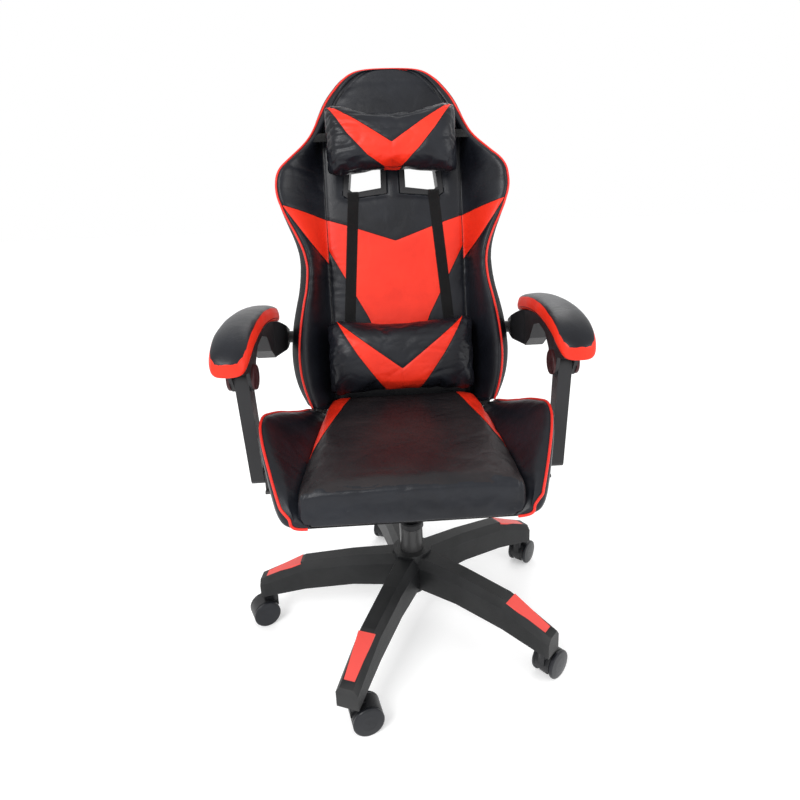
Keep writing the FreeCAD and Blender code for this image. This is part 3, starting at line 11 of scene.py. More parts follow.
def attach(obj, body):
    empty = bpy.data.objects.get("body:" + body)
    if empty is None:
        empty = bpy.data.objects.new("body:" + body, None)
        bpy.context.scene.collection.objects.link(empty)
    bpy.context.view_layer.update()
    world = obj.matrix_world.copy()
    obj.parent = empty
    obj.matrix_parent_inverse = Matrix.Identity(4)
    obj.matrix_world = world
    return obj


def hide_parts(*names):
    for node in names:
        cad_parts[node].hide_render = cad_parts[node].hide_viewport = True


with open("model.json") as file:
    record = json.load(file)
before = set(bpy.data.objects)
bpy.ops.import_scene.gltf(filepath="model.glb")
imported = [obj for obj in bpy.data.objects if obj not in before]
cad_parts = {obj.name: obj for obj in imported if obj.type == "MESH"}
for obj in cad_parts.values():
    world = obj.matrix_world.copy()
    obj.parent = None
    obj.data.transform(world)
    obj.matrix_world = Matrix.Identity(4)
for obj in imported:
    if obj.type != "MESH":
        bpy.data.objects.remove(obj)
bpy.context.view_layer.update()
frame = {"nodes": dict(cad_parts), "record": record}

MM = 0.001
SIDES = ((1, "left"), (-1, "right"))
THREAD_LIFT = 0.15
STRAP_HALF = 13
STRAP_THICK = 1.4
CLOTH_STEPS = 20

# The backrest's own frame: its origin on the chair and its lean.
BACK = Matrix.Translation((0, 0.235, 0.425)) @ Matrix.Rotation(math.radians(-11.5), 4, "X")
NO_TURN = Matrix.Identity(4)


# ------------------------------------------------------------------ materials

def finish(name, dark, light, roughness, metallic=0.0, grain=None, soft=None, patch=9.0,
           stretch=(1, 1, 1), coat=0.0, sheen=0.0, worn=None, ribs=None, specular=0.26):
    """A procedural finish: mottled colour, varied gloss, grain, soft unevenness, worn edges, ribs."""
    material = bpy.data.materials.new(name)
    material.use_nodes = True
    tree = material.node_tree
    shader = tree.nodes["Principled BSDF"]
    shader.inputs["Metallic"].default_value = metallic
    shader.inputs["Specular IOR Level"].default_value = specular
    shader.inputs["Coat Weight"].default_value = coat
    shader.inputs["Coat Roughness"].default_value = 0.25
    shader.inputs["Sheen Weight"].default_value = sheen

    def node(kind, **inputs):
        made = tree.nodes.new("ShaderNode" + kind)
        for key, value in inputs.items():
            made.inputs[key.replace("_", " ")].default_value = value
        return made

    def ramp(source, low, high, first, second):
        made = node("ValToRGB")
        made.color_ramp.elements[0].position = low
        made.color_ramp.elements[0].color = (*first, 1)
        made.color_ramp.elements[1].position = high
        made.color_ramp.elements[1].color = (*second, 1)
        tree.links.new(source, made.inputs["Fac"])
        return made.outputs["Color"]

    place = node("TexCoord").outputs["Object"]
    mapping = node("Mapping", Scale=stretch)
    tree.links.new(place, mapping.inputs["Vector"])
    mottle = node("TexNoise", Scale=patch, Detail=6.0, Roughness=0.6)
    tree.links.new(mapping.outputs["Vector"], mottle.inputs["Vector"])
    colour = ramp(mottle.outputs["Fac"], 0.36, 0.66, dark, light)
    gloss = node("MapRange")
    gloss.inputs["To Min"].default_value = max(0.02, roughness - 0.09)
    gloss.inputs["To Max"].default_value = min(1.0, roughness + 0.09)
    tree.links.new(mottle.outputs["Fac"], gloss.inputs["Value"])
    tree.links.new(gloss.outputs["Result"], shader.inputs["Roughness"])
    normal = None

    def bump(height, depth, strength):
        made = node("Bump", Distance=depth, Strength=strength)
        tree.links.new(height, made.inputs["Height"])
        if normal is not None:
            tree.links.new(normal, made.inputs["Normal"])
        return made.outputs["Normal"]

    if soft:
        waves = node("TexNoise", Scale=soft[0], Detail=3.0, Distortion=0.6)
        tree.links.new(mapping.outputs["Vector"], waves.inputs["Vector"])
        normal = bump(waves.outputs["Fac"], soft[1], 0.7)
    if grain:
        cells = node("TexVoronoi", Scale=grain[0])
        tree.links.new(place, cells.inputs["Vector"])
        normal = bump(cells.outputs["Distance"], grain[1], 0.8)
    if ribs:
        bands = node("TexWave", Scale=ribs[0], Distortion=0.4)
        bands.bands_direction = ribs[2]
        tree.links.new(place, bands.inputs["Vector"])
        normal = bump(bands.outputs["Fac"], ribs[1], 0.9)
    if worn:
        edges = node("NewGeometry").outputs["Pointiness"]
        mask = ramp(edges, 0.52, 0.60, (0, 0, 0), (0.55, 0.55, 0.55))
        mix = node("Mix")
        mix.data_type = "RGBA"
        mix.inputs[7].default_value = (*worn, 1)
        tree.links.new(mask, mix.inputs[0])
        tree.links.new(colour, mix.inputs[6])
        colour = mix.outputs[2]
    tree.links.new(colour, shader.inputs["Base Color"])
    if normal is not None:
        tree.links.new(normal, shader.inputs["Normal"])
    return material


LEATHER = dict(grain=(760, 0.00016), soft=(24, 0.0016), coat=0.03)
BLACK = finish("black_leather", (0.0045, 0.0050, 0.0075), (0.010, 0.0115, 0.016), 0.36, **LEATHER)
RED = finish("red_leather", (0.66, 0.020, 0.006), (0.80, 0.030, 0.010), 0.44, **LEATHER)
WORN = finish("seat_leather", (0.007, 0.0068, 0.0085), (0.021, 0.0165, 0.0175), 0.44, patch=5.0, **LEATHER)
# Painted shade: a darker, duller copy of the black leather for the back's side gussets, so their lit, grazing
# sides do not read grey.
SHADED_SIDE = finish("shaded_side_leather", (0.0035, 0.0038, 0.0050), (0.008, 0.0085, 0.011), 0.58, grain=(760, 0.00016),
              soft=(24, 0.0016), specular=0.05)
PIPING = finish("red_piping", (0.60, 0.018, 0.012), (0.76, 0.030, 0.018), 0.38,
                grain=(900, 0.0001), coat=0.05)
THREAD = finish("seam_thread", (0.003, 0.003, 0.003), (0.008, 0.008, 0.008), 0.7, grain=(1500, 0.0002))
NYLON = finish("base_nylon", (0.0065, 0.007, 0.0075), (0.014, 0.0145, 0.0155), 0.5, grain=(1300, 0.00012),
               soft=(60, 0.0004), patch=14, worn=(0.03, 0.03, 0.03))
TRIM = finish("trim_plastic", (0.005, 0.0055, 0.0065), (0.011, 0.0115, 0.013), 0.42, grain=(1500, 0.00010),
              worn=(0.025, 0.025, 0.027))
FINISHES = {
    "black_board": finish("lined_board", (0.006, 0.006, 0.0065), (0.013, 0.013, 0.0135), 0.85,
                          grain=(1400, 0.0003), patch=40),
    "black_nylon": NYLON,
    "red_plastic": finish("red_insert", (0.52, 0.012, 0.010), (0.70, 0.022, 0.016), 0.40,
                          grain=(1100, 0.0001), worn=(0.80, 0.12, 0.10)),
    "black_steel": finish("powder_coat", (0.009, 0.009, 0.010), (0.018, 0.018, 0.019), 0.34,
                          grain=(2200, 0.00006), coat=0.2, worn=(0.06, 0.06, 0.06)),
    "chromed_steel": finish("ground_chrome", (0.60, 0.61, 0.63), (0.76, 0.77, 0.79), 0.14, 1.0, specular=0.5,
                            stretch=(1, 1, 60), patch=30),
    "bright_steel": finish("zinc_plate", (0.46, 0.46, 0.48), (0.64, 0.64, 0.66), 0.34, 1.0, specular=0.5,
                           grain=(1800, 0.00005), stretch=(1, 1, 20), patch=40),
    "black_plastic": TRIM,
    "castor_nylon": finish("castor_nylon", (0.007, 0.008, 0.010), (0.014, 0.015, 0.019), 0.33,
                           soft=(50, 0.0003), grain=(1600, 0.00005), coat=0.1),
    "maroon_plastic": finish("maroon_cap", (0.022, 0.005, 0.006), (0.045, 0.010, 0.012), 0.4,
                             grain=(1500, 0.0001), worn=(0.12, 0.04, 0.04)),
    "black_leather": BLACK,
    "red_leather": RED,
    "foam_upholstery": BLACK,
    "black_webbing": finish("woven_webbing", (0.003, 0.003, 0.0035), (0.007, 0.007, 0.0075), 0.72,
                            sheen=0.04, ribs=(520, 0.0005, "Z")),
}


# --------------------------------------------------------------- mesh helpers

def between(stations, position, column=1):
    """Linear value of one column of a table whose first column is the position."""
    for low, high in zip(stations, stations[1:]):
        if low[0] <= position <= high[0]:
            share = (position - low[0]) / (high[0] - low[0])
            return low[column] + (high[column] - low[column]) * share
    return stations[0][column] if position < stations[0][0] else stations[-1][column]


def piece_from(name, points, faces):
    """A mesh object from points in millimetres."""
    mesh = bpy.data.meshes.new(name)
    mesh.from_pydata([Vector(p) * MM for p in points], [], faces)
    piece = bpy.data.objects.new(name, mesh)
    bpy.context.scene.collection.objects.link(piece)
    bm = bmesh.new()
    bm.from_mesh(mesh)
    bmesh.ops.recalc_face_normals(bm, faces=bm.faces)
    bm.to_mesh(mesh)
    bm.free()
    return piece


def cage(name, rings):
    """A closed cage through rings of equal length. Each ring runs along the +X side, then its mirror back."""
    count = len(rings[0])
    points = [p for ring in rings for p in ring]
    faces = []
    for row in range(len(rings) - 1):
        for index in range(count):
            ahead = (index + 1) % count
            a, b = row * count, (row + 1) * count
            faces.append((a + index, a + ahead, b + ahead, b + index))
    for start in (0, (len(rings) - 1) * count):
        for index in range(count // 2 - 1):
            far = start + count - 1 - index
            faces.append((start + index, start + index + 1, far - 1, far))
    return piece_from(name, points, faces)


def settle(piece):
    """Turn a piece's modifiers into its mesh."""
    bpy.context.view_layer.update()
    shaped = piece.evaluated_get(bpy.context.evaluated_depsgraph_get())
    mesh = bpy.data.meshes.new_from_object(shaped)
    piece.modifiers.clear()
    piece.data = mesh
    return piece


def subdivide(piece, levels):
    modifier = piece.modifiers.new("smooth", "SUBSURF")
    modifier.levels = levels
    modifier.render_levels = levels
    return settle(piece)


def crease(piece, test, sharpness):
    """Hold the cage's edges whose two ends both pass the test (in millimetres)."""
    values = piece.data.attributes.new("crease_edge", "FLOAT", "EDGE").data
    for edge in piece.data.edges:
        ends = [piece.data.vertices[i].co / MM for i in edge.vertices]
        if all(test(end) for end in ends):
            values[edge.index].value = sharpness


def push(piece, amount):
    """Move each vertex along its normal by amount(place, normal), all in millimetres."""
    moves = [amount(v.co / MM, v.normal) for v in piece.data.vertices]
    normals = [v.normal.copy() for v in piece.data.vertices]
    for vertex, normal, move in zip(piece.data.vertices, normals, moves):
        vertex.co += normal * move * MM
    piece.data.update()


def distance_to(line, x, z):
    """Distance from a point to an open line of (x, z) corners."""
    best = 1e9
    for (ax, az), (bx, bz) in zip(line, line[1:]):
        dx, dz = bx - ax, bz - az
        share = ((x - ax) * dx + (z - az) * dz) / (dx * dx + dz * dz)
        share = min(1.0, max(0.0, share))
        best = min(best, math.hypot(x - ax - share * dx, z - az - share * dz))
    return best


def groove(distance, width, depth):
    return -depth * math.exp(-(distance / width) ** 2)


def inside(polygon, x, z):
    found = False
    for (ax, az), (bx, bz) in zip(polygon, polygon[1:] + polygon[:1]):
        if (az > z) != (bz > z) and x < (bx - ax) * (z - az) / (bz - az) + ax:
            found = not found
    return found


def colour_panels(piece, polygons, up, faces_out):
    """Cut the skin along the polygons' sides and give the faces inside them the second material.

    The polygons lie in the plane of X and the axis `up` (1 for Y, 2 for Z).
    """
    bm = bmesh.new()
    bm.from_mesh(piece.data)
    bm.normal_update()
    for polygon in polygons:
        for (ax, az), (bx, bz) in zip(polygon, polygon[1:] + polygon[:1]):
            normal = Vector((bz - az, 0, 0))
            normal[up] = ax - bx
            start = Vector((ax * MM, 0, 0))
            start[up] = az * MM
            low = (min(ax, bx) - 8, min(az, bz) - 8)
            high = (max(ax, bx) + 8, max(az, bz) + 8)
            near = []
            for face in bm.faces:
                middle = face.calc_center_median() / MM
                if faces_out(face.normal) and low[0] < middle.x < high[0] and low[1] < middle[up] < high[1]:
                    near.append(face)
            edges = {edge for face in near for edge in face.edges}
            corners = {corner for face in near for corner in face.verts}
            bmesh.ops.bisect_plane(bm, geom=near + list(edges) + list(corners), dist=1e-7,
                                   plane_co=start, plane_no=normal)
            bm.normal_update()
    for face in bm.faces:
        middle = face.calc_center_median() / MM
        if faces_out(face.normal) and any(inside(p, middle.x, middle[up]) for p in polygons):
            face.material_index = 1
    bm.to_mesh(piece.data)
    bm.free()


def surface_of(piece):
    return BVHTree.FromPolygons([v.co for v in piece.data.vertices],
                                [tuple(p.vertices) for p in piece.data.polygons])


def walk(corners, step=5.0):
    """Points along an open line of corners, a step apart."""
    corners = [Vector(c) for c in corners]
    points = [corners[0]]
    for start, end in zip(corners, corners[1:]):
        count = max(1, round((end - start).length / step))
        points += [start.lerp(end, i / count) for i in range(1, count + 1)]
    return points


def laid(surface, points, direction, lift):
    """Points in millimetres dropped on a surface along a direction, and lifted off it."""
    direction = Vector(direction)
    result = []
    for point in points:
        place, normal, index, distance = surface.ray_cast(point * MM - direction * 0.5, direction)
        if place is not None:
            result.append(place / MM - direction * lift)
    return result


def nearest(surface, points, lift):
    """Points in millimetres moved to the nearest place of a surface, and lifted off it."""
    result = []
    for point in points:
        place, normal, index, distance = surface.find_nearest(Vector(point) * MM)
        result.append(place / MM + normal * lift)
    return result


def cords_piece(name, lines, radius, closed=False):
    """One mesh of round tubes that run smoothly along lines of points in millimetres."""
    curve = bpy.data.curves.new(name, "CURVE")
    curve.dimensions = "3D"
    curve.bevel_depth = radius * MM
    curve.bevel_resolution = 3
    curve.use_fill_caps = True
    curve.resolution_u = 3
    for line in lines:
        spline = curve.splines.new("NURBS")
        spline.points.add(len(line) - 1)
        for point, place in zip(spline.points, line):
            point.co = (*(Vector(place) * MM), 1)
        spline.order_u = 4
        spline.use_endpoint_u = not closed
        spline.use_cyclic_u = closed
    source = bpy.data.objects.new(name + "_path", curve)
    bpy.context.scene.collection.objects.link(source)
    bpy.context.view_layer.update()
    shaped = source.evaluated_get(bpy.context.evaluated_depsgraph_get())
    mesh = bpy.data.meshes.new_from_object(shaped)
    bpy.data.objects.remove(source)
    piece = bpy.data.objects.new(name, mesh)
    bpy.context.scene.collection.objects.link(piece)
    return piece


def strip(name, rows, thickness, closed=False):
    """A flat band through rows of points in millimetres, one row across for each step along."""
    across = len(rows[0])
    faces = []
    last = len(rows) if closed else len(rows) - 1
    for row in range(last):
        a, b = row * across, ((row + 1) % len(rows)) * across
        faces += [(a + i, a + i + 1, b + i + 1, b + i) for i in range(across - 1)]
    piece = piece_from(name, [p for row in rows for p in row], faces)
    modifier = piece.modifiers.new("thick", "SOLIDIFY")
    modifier.thickness = thickness * MM
    modifier.offset = 0.0
    settle(piece)
    return subdivide(piece, 1)


def dress(piece, materials, body, replaced=(), turn=NO_TURN):
    """Give a finished piece its materials, smooth shading, place, body and what it stands for."""
    while len(piece.data.materials) < len(materials):
        piece.data.materials.append(None)
    for index, material in enumerate(materials):
        piece.data.materials[index] = material
    piece.data.transform(turn)
    piece.data.shade_smooth()
    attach(piece, body)
    if replaced:
        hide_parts(*replaced)
    return piece


def fill_out(piece, voxel, cap, pinned, pressure=4.0, slack=0.03):
    """Blow a cover up as cloth from inside, but move no point by more than the cap (millimetres)."""
    remesh = piece.modifiers.new("skin", "REMESH")
    remesh.mode = "VOXEL"
    remesh.voxel_size = voxel * MM
    settle(piece)
    start = [v.co.copy() for v in piece.data.vertices]
    pins = piece.vertex_groups.new(name="pins")
    pins.add([v.index for v in piece.data.vertices if pinned(v.co / MM)], 1.0, "REPLACE")
    cloth = piece.modifiers.new("cloth", "CLOTH")
    cloth.settings.use_pressure = True
    cloth.settings.uniform_pressure_force = pressure
    cloth.settings.effector_weights.gravity = 0.0
    cloth.settings.vertex_group_mass = "pins"
    cloth.settings.shrink_min = -slack
    cloth.settings.bending_stiffness = 0.8
    cloth.point_cache.frame_start = 1
    cloth.point_cache.frame_end = CLOTH_STEPS
    for moment in range(1, CLOTH_STEPS + 1):
        bpy.context.scene.frame_set(moment)
    settle(piece)
    bpy.context.scene.frame_set(1)
    for vertex, place in zip(piece.data.vertices, start):
        move = vertex.co - place
        if move.length > cap * MM:
            vertex.co = place + move.normalized() * cap * MM
    ease = piece.modifiers.new("ease", "SMOOTH")
    ease.factor = 0.5
    ease.iterations = 2
    settle(piece)
    return subdivide(piece, 1)


# ------------------------------------------------------------------- backrest

# Level up the back, half width at the piping.
OUTLINE = (
    (14, 210), (45, 221), (80, 229), (125, 233), (165, 231), (205, 226), (250, 217), (290, 207),
    (330, 202), (360, 205), (390, 214), (420, 228), (457, 247), (490, 259), (515, 262), (545, 258),
    (566, 245), (590, 222),
    (620, 194), (645, 180), (685, 164), (722, 148), (750, 125), (768, 109), (782, 88), (790, 68),
)
# Level, how far the wings stand forward (0 none, 1 fully).
WING_RISE = ((14, 0.92), (60, 1), (545, 1), (566, 0.92), (590, 0.72), (620, 0.45), (645, 0.26),
             (685, 0.1), (722, 0), (790, 0))
# Level, how much wider the rear edge is than the piping.
FLARE = ((14, 26), (60, 34), (125, 36), (330, 33), (420, 18), (470, 11), (790, 8))
SPINE, REAR, WING, SEAM = -24.0, 30.0, -102.0, 160.0
# Head openings: the hole in the upholstery round each sleeve.

def opening(sign, grow):
    """Outline of one head opening, wider all round by `grow`."""
    low, high, near, far = 512 - grow, 588 + grow, 29 - grow, 105 + grow
    corners = ((near, low + 9), (far - 12, low), (far, low + 8), (far - 7, high - 9), (far - 17, high),
               (near - 1, high))
    return [(sign * x, z) for x, z in corners]



UPPER_LINE = [(-250, 476), (-160, 452), (-103, 434), (0, 398), (103, 434), (160, 452), (250, 476)]
CENTRE_RED = [(-160, 452), (-103, 434), (0, 398), (103, 434), (160, 452), (160, 381), (74, 220), (58, 180),
              (-58, 180), (-74, 220), (-160, 381)]
WING_RED = [(160, 452), (250, 476), (160, 347)]
PANEL_SEAMS = [
    UPPER_LINE,
    [(160, 381), (74, 220), (58, 180)],
    [(-160, 381), (-74, 220), (-58, 180)],
    [(250, 476), (160, 347)],
    [(-250, 476), (-160, 347)],
]


def seam_at(level):
    """Where the spine meets the wing at one level."""
    return min(SEAM, between(OUTLINE, level) - 26)


def back_ring(level):
    half = between(OUTLINE, level)
    rise = between(WING_RISE, level)
    wide = half + between(FLARE, level)
    front = SPINE + (WING - SPINE) * rise
    seam = seam_at(level)
    lip = half - 14
    right = [
        (0.25 * wide, REAR + 7), (0.62 * wide, REAR + 7), (wide - 24, REAR + 5), (wide - 8, REAR - 2),
        (wide, REAR - 22), (half + (wide - half) * 0.6, min(SPINE - 6, front + 50)), (half + 2, front + 9),
        (half - 3, front - 3), (lip, front - 7),
        ((lip + seam) / 2, (front + SPINE) / 2 - 5 - 8 * rise), (seam + 9, SPINE - 6),
        (seam, SPINE + 1), (seam - 10, SPINE - 3.5), (0.62 * seam, SPINE - 4), (0.25 * seam, SPINE - 4),
    ]
    left = [(-x, y) for x, y in reversed(right)]
    return [(x, y, level) for x, y in right + left]


def wrinkles(x, z, across, along, depth):
    """Ridges of a stretched cover: sharp valleys between rounded folds."""
    value = noise.noise(Vector((x * across, z * along, 3.7)))
    finer = noise.noise(Vector((x * across * 2.3, z * along * 2.1, 9.1)))
    return -depth * (max(0.0, 1 - 5 * abs(value)) + 0.4 * max(0.0, 1 - 5 * abs(finer)))


def back_relief(place, normal):
    """Seams, tension folds and small unevenness of the back's cover."""
    x, y, z = place
    move = 0.8 * noise.noise(Vector((x, y, z)) * 0.012)
    if normal.y < -0.1:
        rim = opening(1, 14)
        gone = 0.0 if inside(rim, abs(x), z) else distance_to(rim + rim[:1], abs(x), z)
        move -= 3.2 * math.exp(-(gone / 9) ** 2)
        seam = seam_at(z)
        gap = abs(abs(x) - seam)
        move += groove(gap, 4, 1.5) if z < 700 else 0.0
        if z > 700:
            move += groove(distance_to([(-112, 745), (-70, 765), (70, 765), (112, 745)], x, z), 10, 1.6)
        nearest_seam = min(distance_to(line, x, z) for line in PANEL_SEAMS)
        move += groove(nearest_seam, 3, 1.3)
        if abs(x) > seam:
            pull = math.exp(-gap / 34) * math.exp(-((z - 330) / 120) ** 2)
            move += wrinkles(x, z, 0.011, 0.045, 2.6 * pull)
            move += wrinkles(x, z, 0.010, 0.022, 1.6 * math.exp(-((z - 560) / 60) ** 2))
        else:
            pull = math.exp(-gap / 26) * math.exp(-((z - 300) / 110) ** 2)
            move += wrinkles(x, z, 0.012, 0.050, 1.8 * pull)
            move += wrinkles(x, z, 0.006, 0.02, 1.2 * math.exp(-((z - 740) / 30) ** 2))
    elif normal.y > 0.3:
        wide = between(OUTLINE, z) + between(FLARE, z)
        move += groove(abs(abs(x) - wide + 22), 4, 2.0) if z < 765 else 0.0
        move += groove(abs(z - 34), 4, 2.0) if abs(x) < wide - 22 else 0.0
        move += groove(abs(z - 768), 4, 2.0) if abs(x) < wide - 22 else 0.0
    return move


def prism(name, outline, low_y, high_y):
    """A straight-sided block along Y from an (x, z) outline."""
    count = len(outline)
    points = [(x, low_y, z) for x, z in outline] + [(x, high_y, z) for x, z in outline]
    faces = [tuple(range(count)), tuple(range(count, 2 * count))]
    faces += [(i, (i + 1) % count, count + (i + 1) % count, count + i) for i in range(count)]
    return piece_from(name, points, faces)


def drum(name, centre, radius, low_x, high_x):
    """A round block along X."""
    turns = [2 * math.pi * i / 40 for i in range(40)]
    rim = [(centre[0] + radius * math.cos(a), centre[1] + radius * math.sin(a)) for a in turns]
    points = [(low_x, y, z) for y, z in rim] + [(high_x, y, z) for y, z in rim]
    faces = [tuple(range(40)), tuple(range(40, 80))]
    faces += [(i, (i + 1) % 40, 40 + (i + 1) % 40, 40 + i) for i in range(40)]
    return piece_from(name, points, faces)


def take_away(piece, tools):
    for tool in tools:
        modifier = piece.modifiers.new("hole", "BOOLEAN")
        modifier.operation = "DIFFERENCE"
        modifier.solver = "EXACT"
        modifier.object = tool
        settle(piece)
        bpy.data.objects.remove(tool)


def make_back_cover():
    """Sewn cover of the backrest over its foam, with wings, red panels and the two head openings."""
    piece = cage("back_cover", [back_ring(level) for level, _ in OUTLINE])
    crease(piece, lambda p: p.z < 15, 0.7)
    subdivide(piece, 3)
    push(piece, back_relief)
    tools = [prism("hole", opening(sign, 3.0), -60, 60) for sign in (1, -1)]
    tools += [prism("seat_of_bezel", opening(sign, 13.3), -60, -23.8) for sign in (1, -1)]
    tools += [drum("room", (12, 2), 30, *sorted((sign * 191, sign * 270))) for sign in (1, -1)]
    take_away(piece, tools)
    colour_panels(piece, [CENTRE_RED, WING_RED, [(-x, z) for x, z in WING_RED]], 2, lambda n: n.y < -0.1)
    # Painted shade: faces beyond the piping on the sides get the darker, duller copy of the black leather.
    for face in piece.data.polygons:
        middle = face.center / MM
        if abs(middle.x) > between(OUTLINE, middle.z) + 1 and face.normal.y < 0.5:
            face.material_index = 2
    return piece


def piping_line():
    """Up one side of the backrest at the front edge of the wing, over the top and down the other side."""
    right = []
    for level in [16] + list(range(30, 780, 12)) + [782, 789]:
        half = between(OUTLINE, level)
        front = SPINE + (WING - SPINE) * between(WING_RISE, level)
        right.append((half, front - 1, level))
    over = [(x, SPINE - 1, 792) for x in (46, 23, 0, -23, -46)]
    return right + over + [(-x, y, z) for x, y, z in reversed(right)]


def front_thread(surface, line):
    points = walk([(x, 0, z) for x, z in line])
    return laid(surface, points, (0, 1, 0), THREAD_LIFT)


def level_hull(surface, level, lift):
    """The line of a band pulled tight round the backrest at one level."""
    points = []
    for index in range(180):
        angle = 2 * math.pi * index / 180
        away = Vector((math.cos(angle), math.sin(angle), 0))
        start = Vector((0, 0.003, level * MM)) + away * 0.5
        place, normal, face, distance = surface.ray_cast(start, -away)
        if place is not None:
            spot = place / MM + away * lift
            points.append((spot.x, spot.y))
    points.sort()

    def chain(ordered):
        kept = []
        for p in ordered:
            while len(kept) > 1 and ((kept[-1][0] - kept[-2][0]) * (p[1] - kept[-2][1])
                                     <= (kept[-1][1] - kept[-2][1]) * (p[0] - kept[-2][0])):
                kept.pop()
            kept.append(p)
        return kept[:-1]

    hull = chain(points) + chain(points[::-1])
    corners = [(x, y, level) for x, y in hull]
    rounded = []
    for index in range(160):
        angle = 2 * math.pi * index / 160
        away = Vector((math.cos(angle), math.sin(angle)))
        reach = 0.0
        for a, b in zip(corners, corners[1:] + corners[:1]):
            p, q = Vector(a[:2]), Vector(b[:2])
            side = q - p
            cross = away.x * side.y - away.y * side.x
            if abs(cross) < 1e-9:
                continue
            far = (p.x * side.y - p.y * side.x) / cross
            share = (p.x * away.y - p.y * away.x) / cross
            if far > 0 and -1e-6 <= share <= 1 + 1e-6:
                reach = max(reach, far)
        rounded.append((away.x * reach, away.y * reach, level))
    return rounded


def make_straps(surface):
    """Two webbing straps from the openings down to behind the lumbar pillow, and the band round the neck."""
    straps = []
    across = [STRAP_HALF * share for share in (-1, -0.5, 0, 0.5, 1)]
    for sign, side in SIDES:
        rows = []
        over = [(514, 8), (515, -12), (514.5, -25), (512, -29.6), (506, -30), (500, -29.6)]
        for level, y in over:
            rows.append([(sign * (95 + dx), y, level) for dx in across])
        for level in range(492, 50, -9):
            x = between(((52, 131), (496, 95)), level)
            spots = [Vector((sign * (x + dx), 0, level)) for dx in across]
            rows.append(laid(surface, spots, (0, 1, 0), 1.1))
        straps.append(strip("strap_" + side, [row for row in rows if len(row) == 5], STRAP_THICK))
    levels = (621, 627, 632.5, 638, 644)
    loops = [level_hull(surface, level, 1.2) for level in levels]
    rows = [list(row) for row in zip(*loops)]
    band = strip("head_band", rows, STRAP_THICK, closed=True)
    return straps, band


# ------------------------------------------------------------------- cushions

def bolster(name, half, low, high, back, depth, sag, steps=36):
    """A stuffed cushion: rounded section, a waist in its length and corners that stand out."""
    rings = []
    shares = [-1.0, -0.985, -0.93, -0.82, -0.66, -0.45, -0.22, 0.0, 0.22, 0.45, 0.66, 0.82, 0.93, 0.985, 1.0]
    for share in shares:
        end = max(0.0, (abs(share) - 0.8) / 0.2)
        plump = math.sqrt(max(0.0, 1 - end ** 3)) * 0.86 + 0.14
        top = high - sag * (1 - share * share)
        bottom = low + 0.35 * sag * (1 - share * share)
        middle, tall = (top + bottom) / 2, (top - bottom) / 2
        tall *= 1 - 0.10 * end ** 2
        ring = []
        for step in range(steps):
            angle = 2 * math.pi * (step + 0.5) / steps
            across = math.copysign(abs(math.cos(angle)) ** 0.8, math.cos(angle))
            upwards = math.copysign(abs(math.sin(angle)) ** 0.8, math.sin(angle))
            ring.append((share * half, back - depth / 2 * (1 + across * plump), middle + upwards * tall))
        rings.append(ring)
    points = [p for ring in rings for p in ring]
    faces = []
    for row in range(len(rings) - 1):
        for i in range(steps):
            j = (i + 1) % steps
            faces.append((row * steps + i, row * steps + j, (row + 1) * steps + j, (row + 1) * steps + i))
    last = (len(rings) - 1) * steps
    faces += [tuple(range(steps)), tuple(range(last, last + steps))]
    return piece_from(name, points, faces)


HEAD_VEE = [(-146, 697), (0, 600), (146, 697), (98, 630), (60, 586), (32, 561), (14, 552),
            (-14, 552), (-32, 561),
            (-55, 575), (-97, 621)]
LUMBAR_VEE = [(-146, 214), (0, 102), (146, 214), (98, 135), (42, 56), (36, 42),
              (-36, 42), (-42, 56), (-98, 135)]


def make_pillow(name, size, vee, end_seam, ridges):
    """A pillow with its V-shaped panel, end seams and the folds that its filling leaves."""
    half, low, high, back, depth, sag = size
    piece = bolster(name, half - 3, low + 3, high - 3, back - 3, depth - 8, sag)
    middle = back - depth / 2

    def pinned(p):
        return abs(p.x) > half - 9 or (abs(p.x) > half - 22 and abs(p.y - middle) < 8)

    fill_out(piece, 5, 10, pinned)

    def relief(place, normal):
        x, y, z = place
        end = math.exp(-abs(abs(x) - half) / 46)
        move = groove(abs(abs(x) - end_seam), 4, 1.6)
        move += wrinkles(x, z + 0.5 * y, 0.010, ridges, 1.0 + 2.2 * end)
        if normal.y < -0.1:
            move += groove(distance_to(vee + vee[:1], x, z), 3, 1.2)
            move += groove(abs(x), 3, 0.9) if inside(vee, x, z) else 0.0
        return move

    push(piece, relief)
    colour_panels(piece, [vee], 2, lambda n: n.y < 0.1)
    return piece


# Front to back: half width of the seat pad, height of its upper edge.
PAD = ((-254, 188, 444), (-252, 198, 452), (-238, 201, 456), (-190, 201, 458), (-120, 200, 460),
       (-60, 197, 461),
       (20, 192, 464), (90, 187, 467), (150, 182, 470), (192, 174, 469), (197, 164, 462))
PAD_FLOOR = 386.0
SEAT_RED = [(206, -160), (118, 192), (118, 205), (206, 205)]


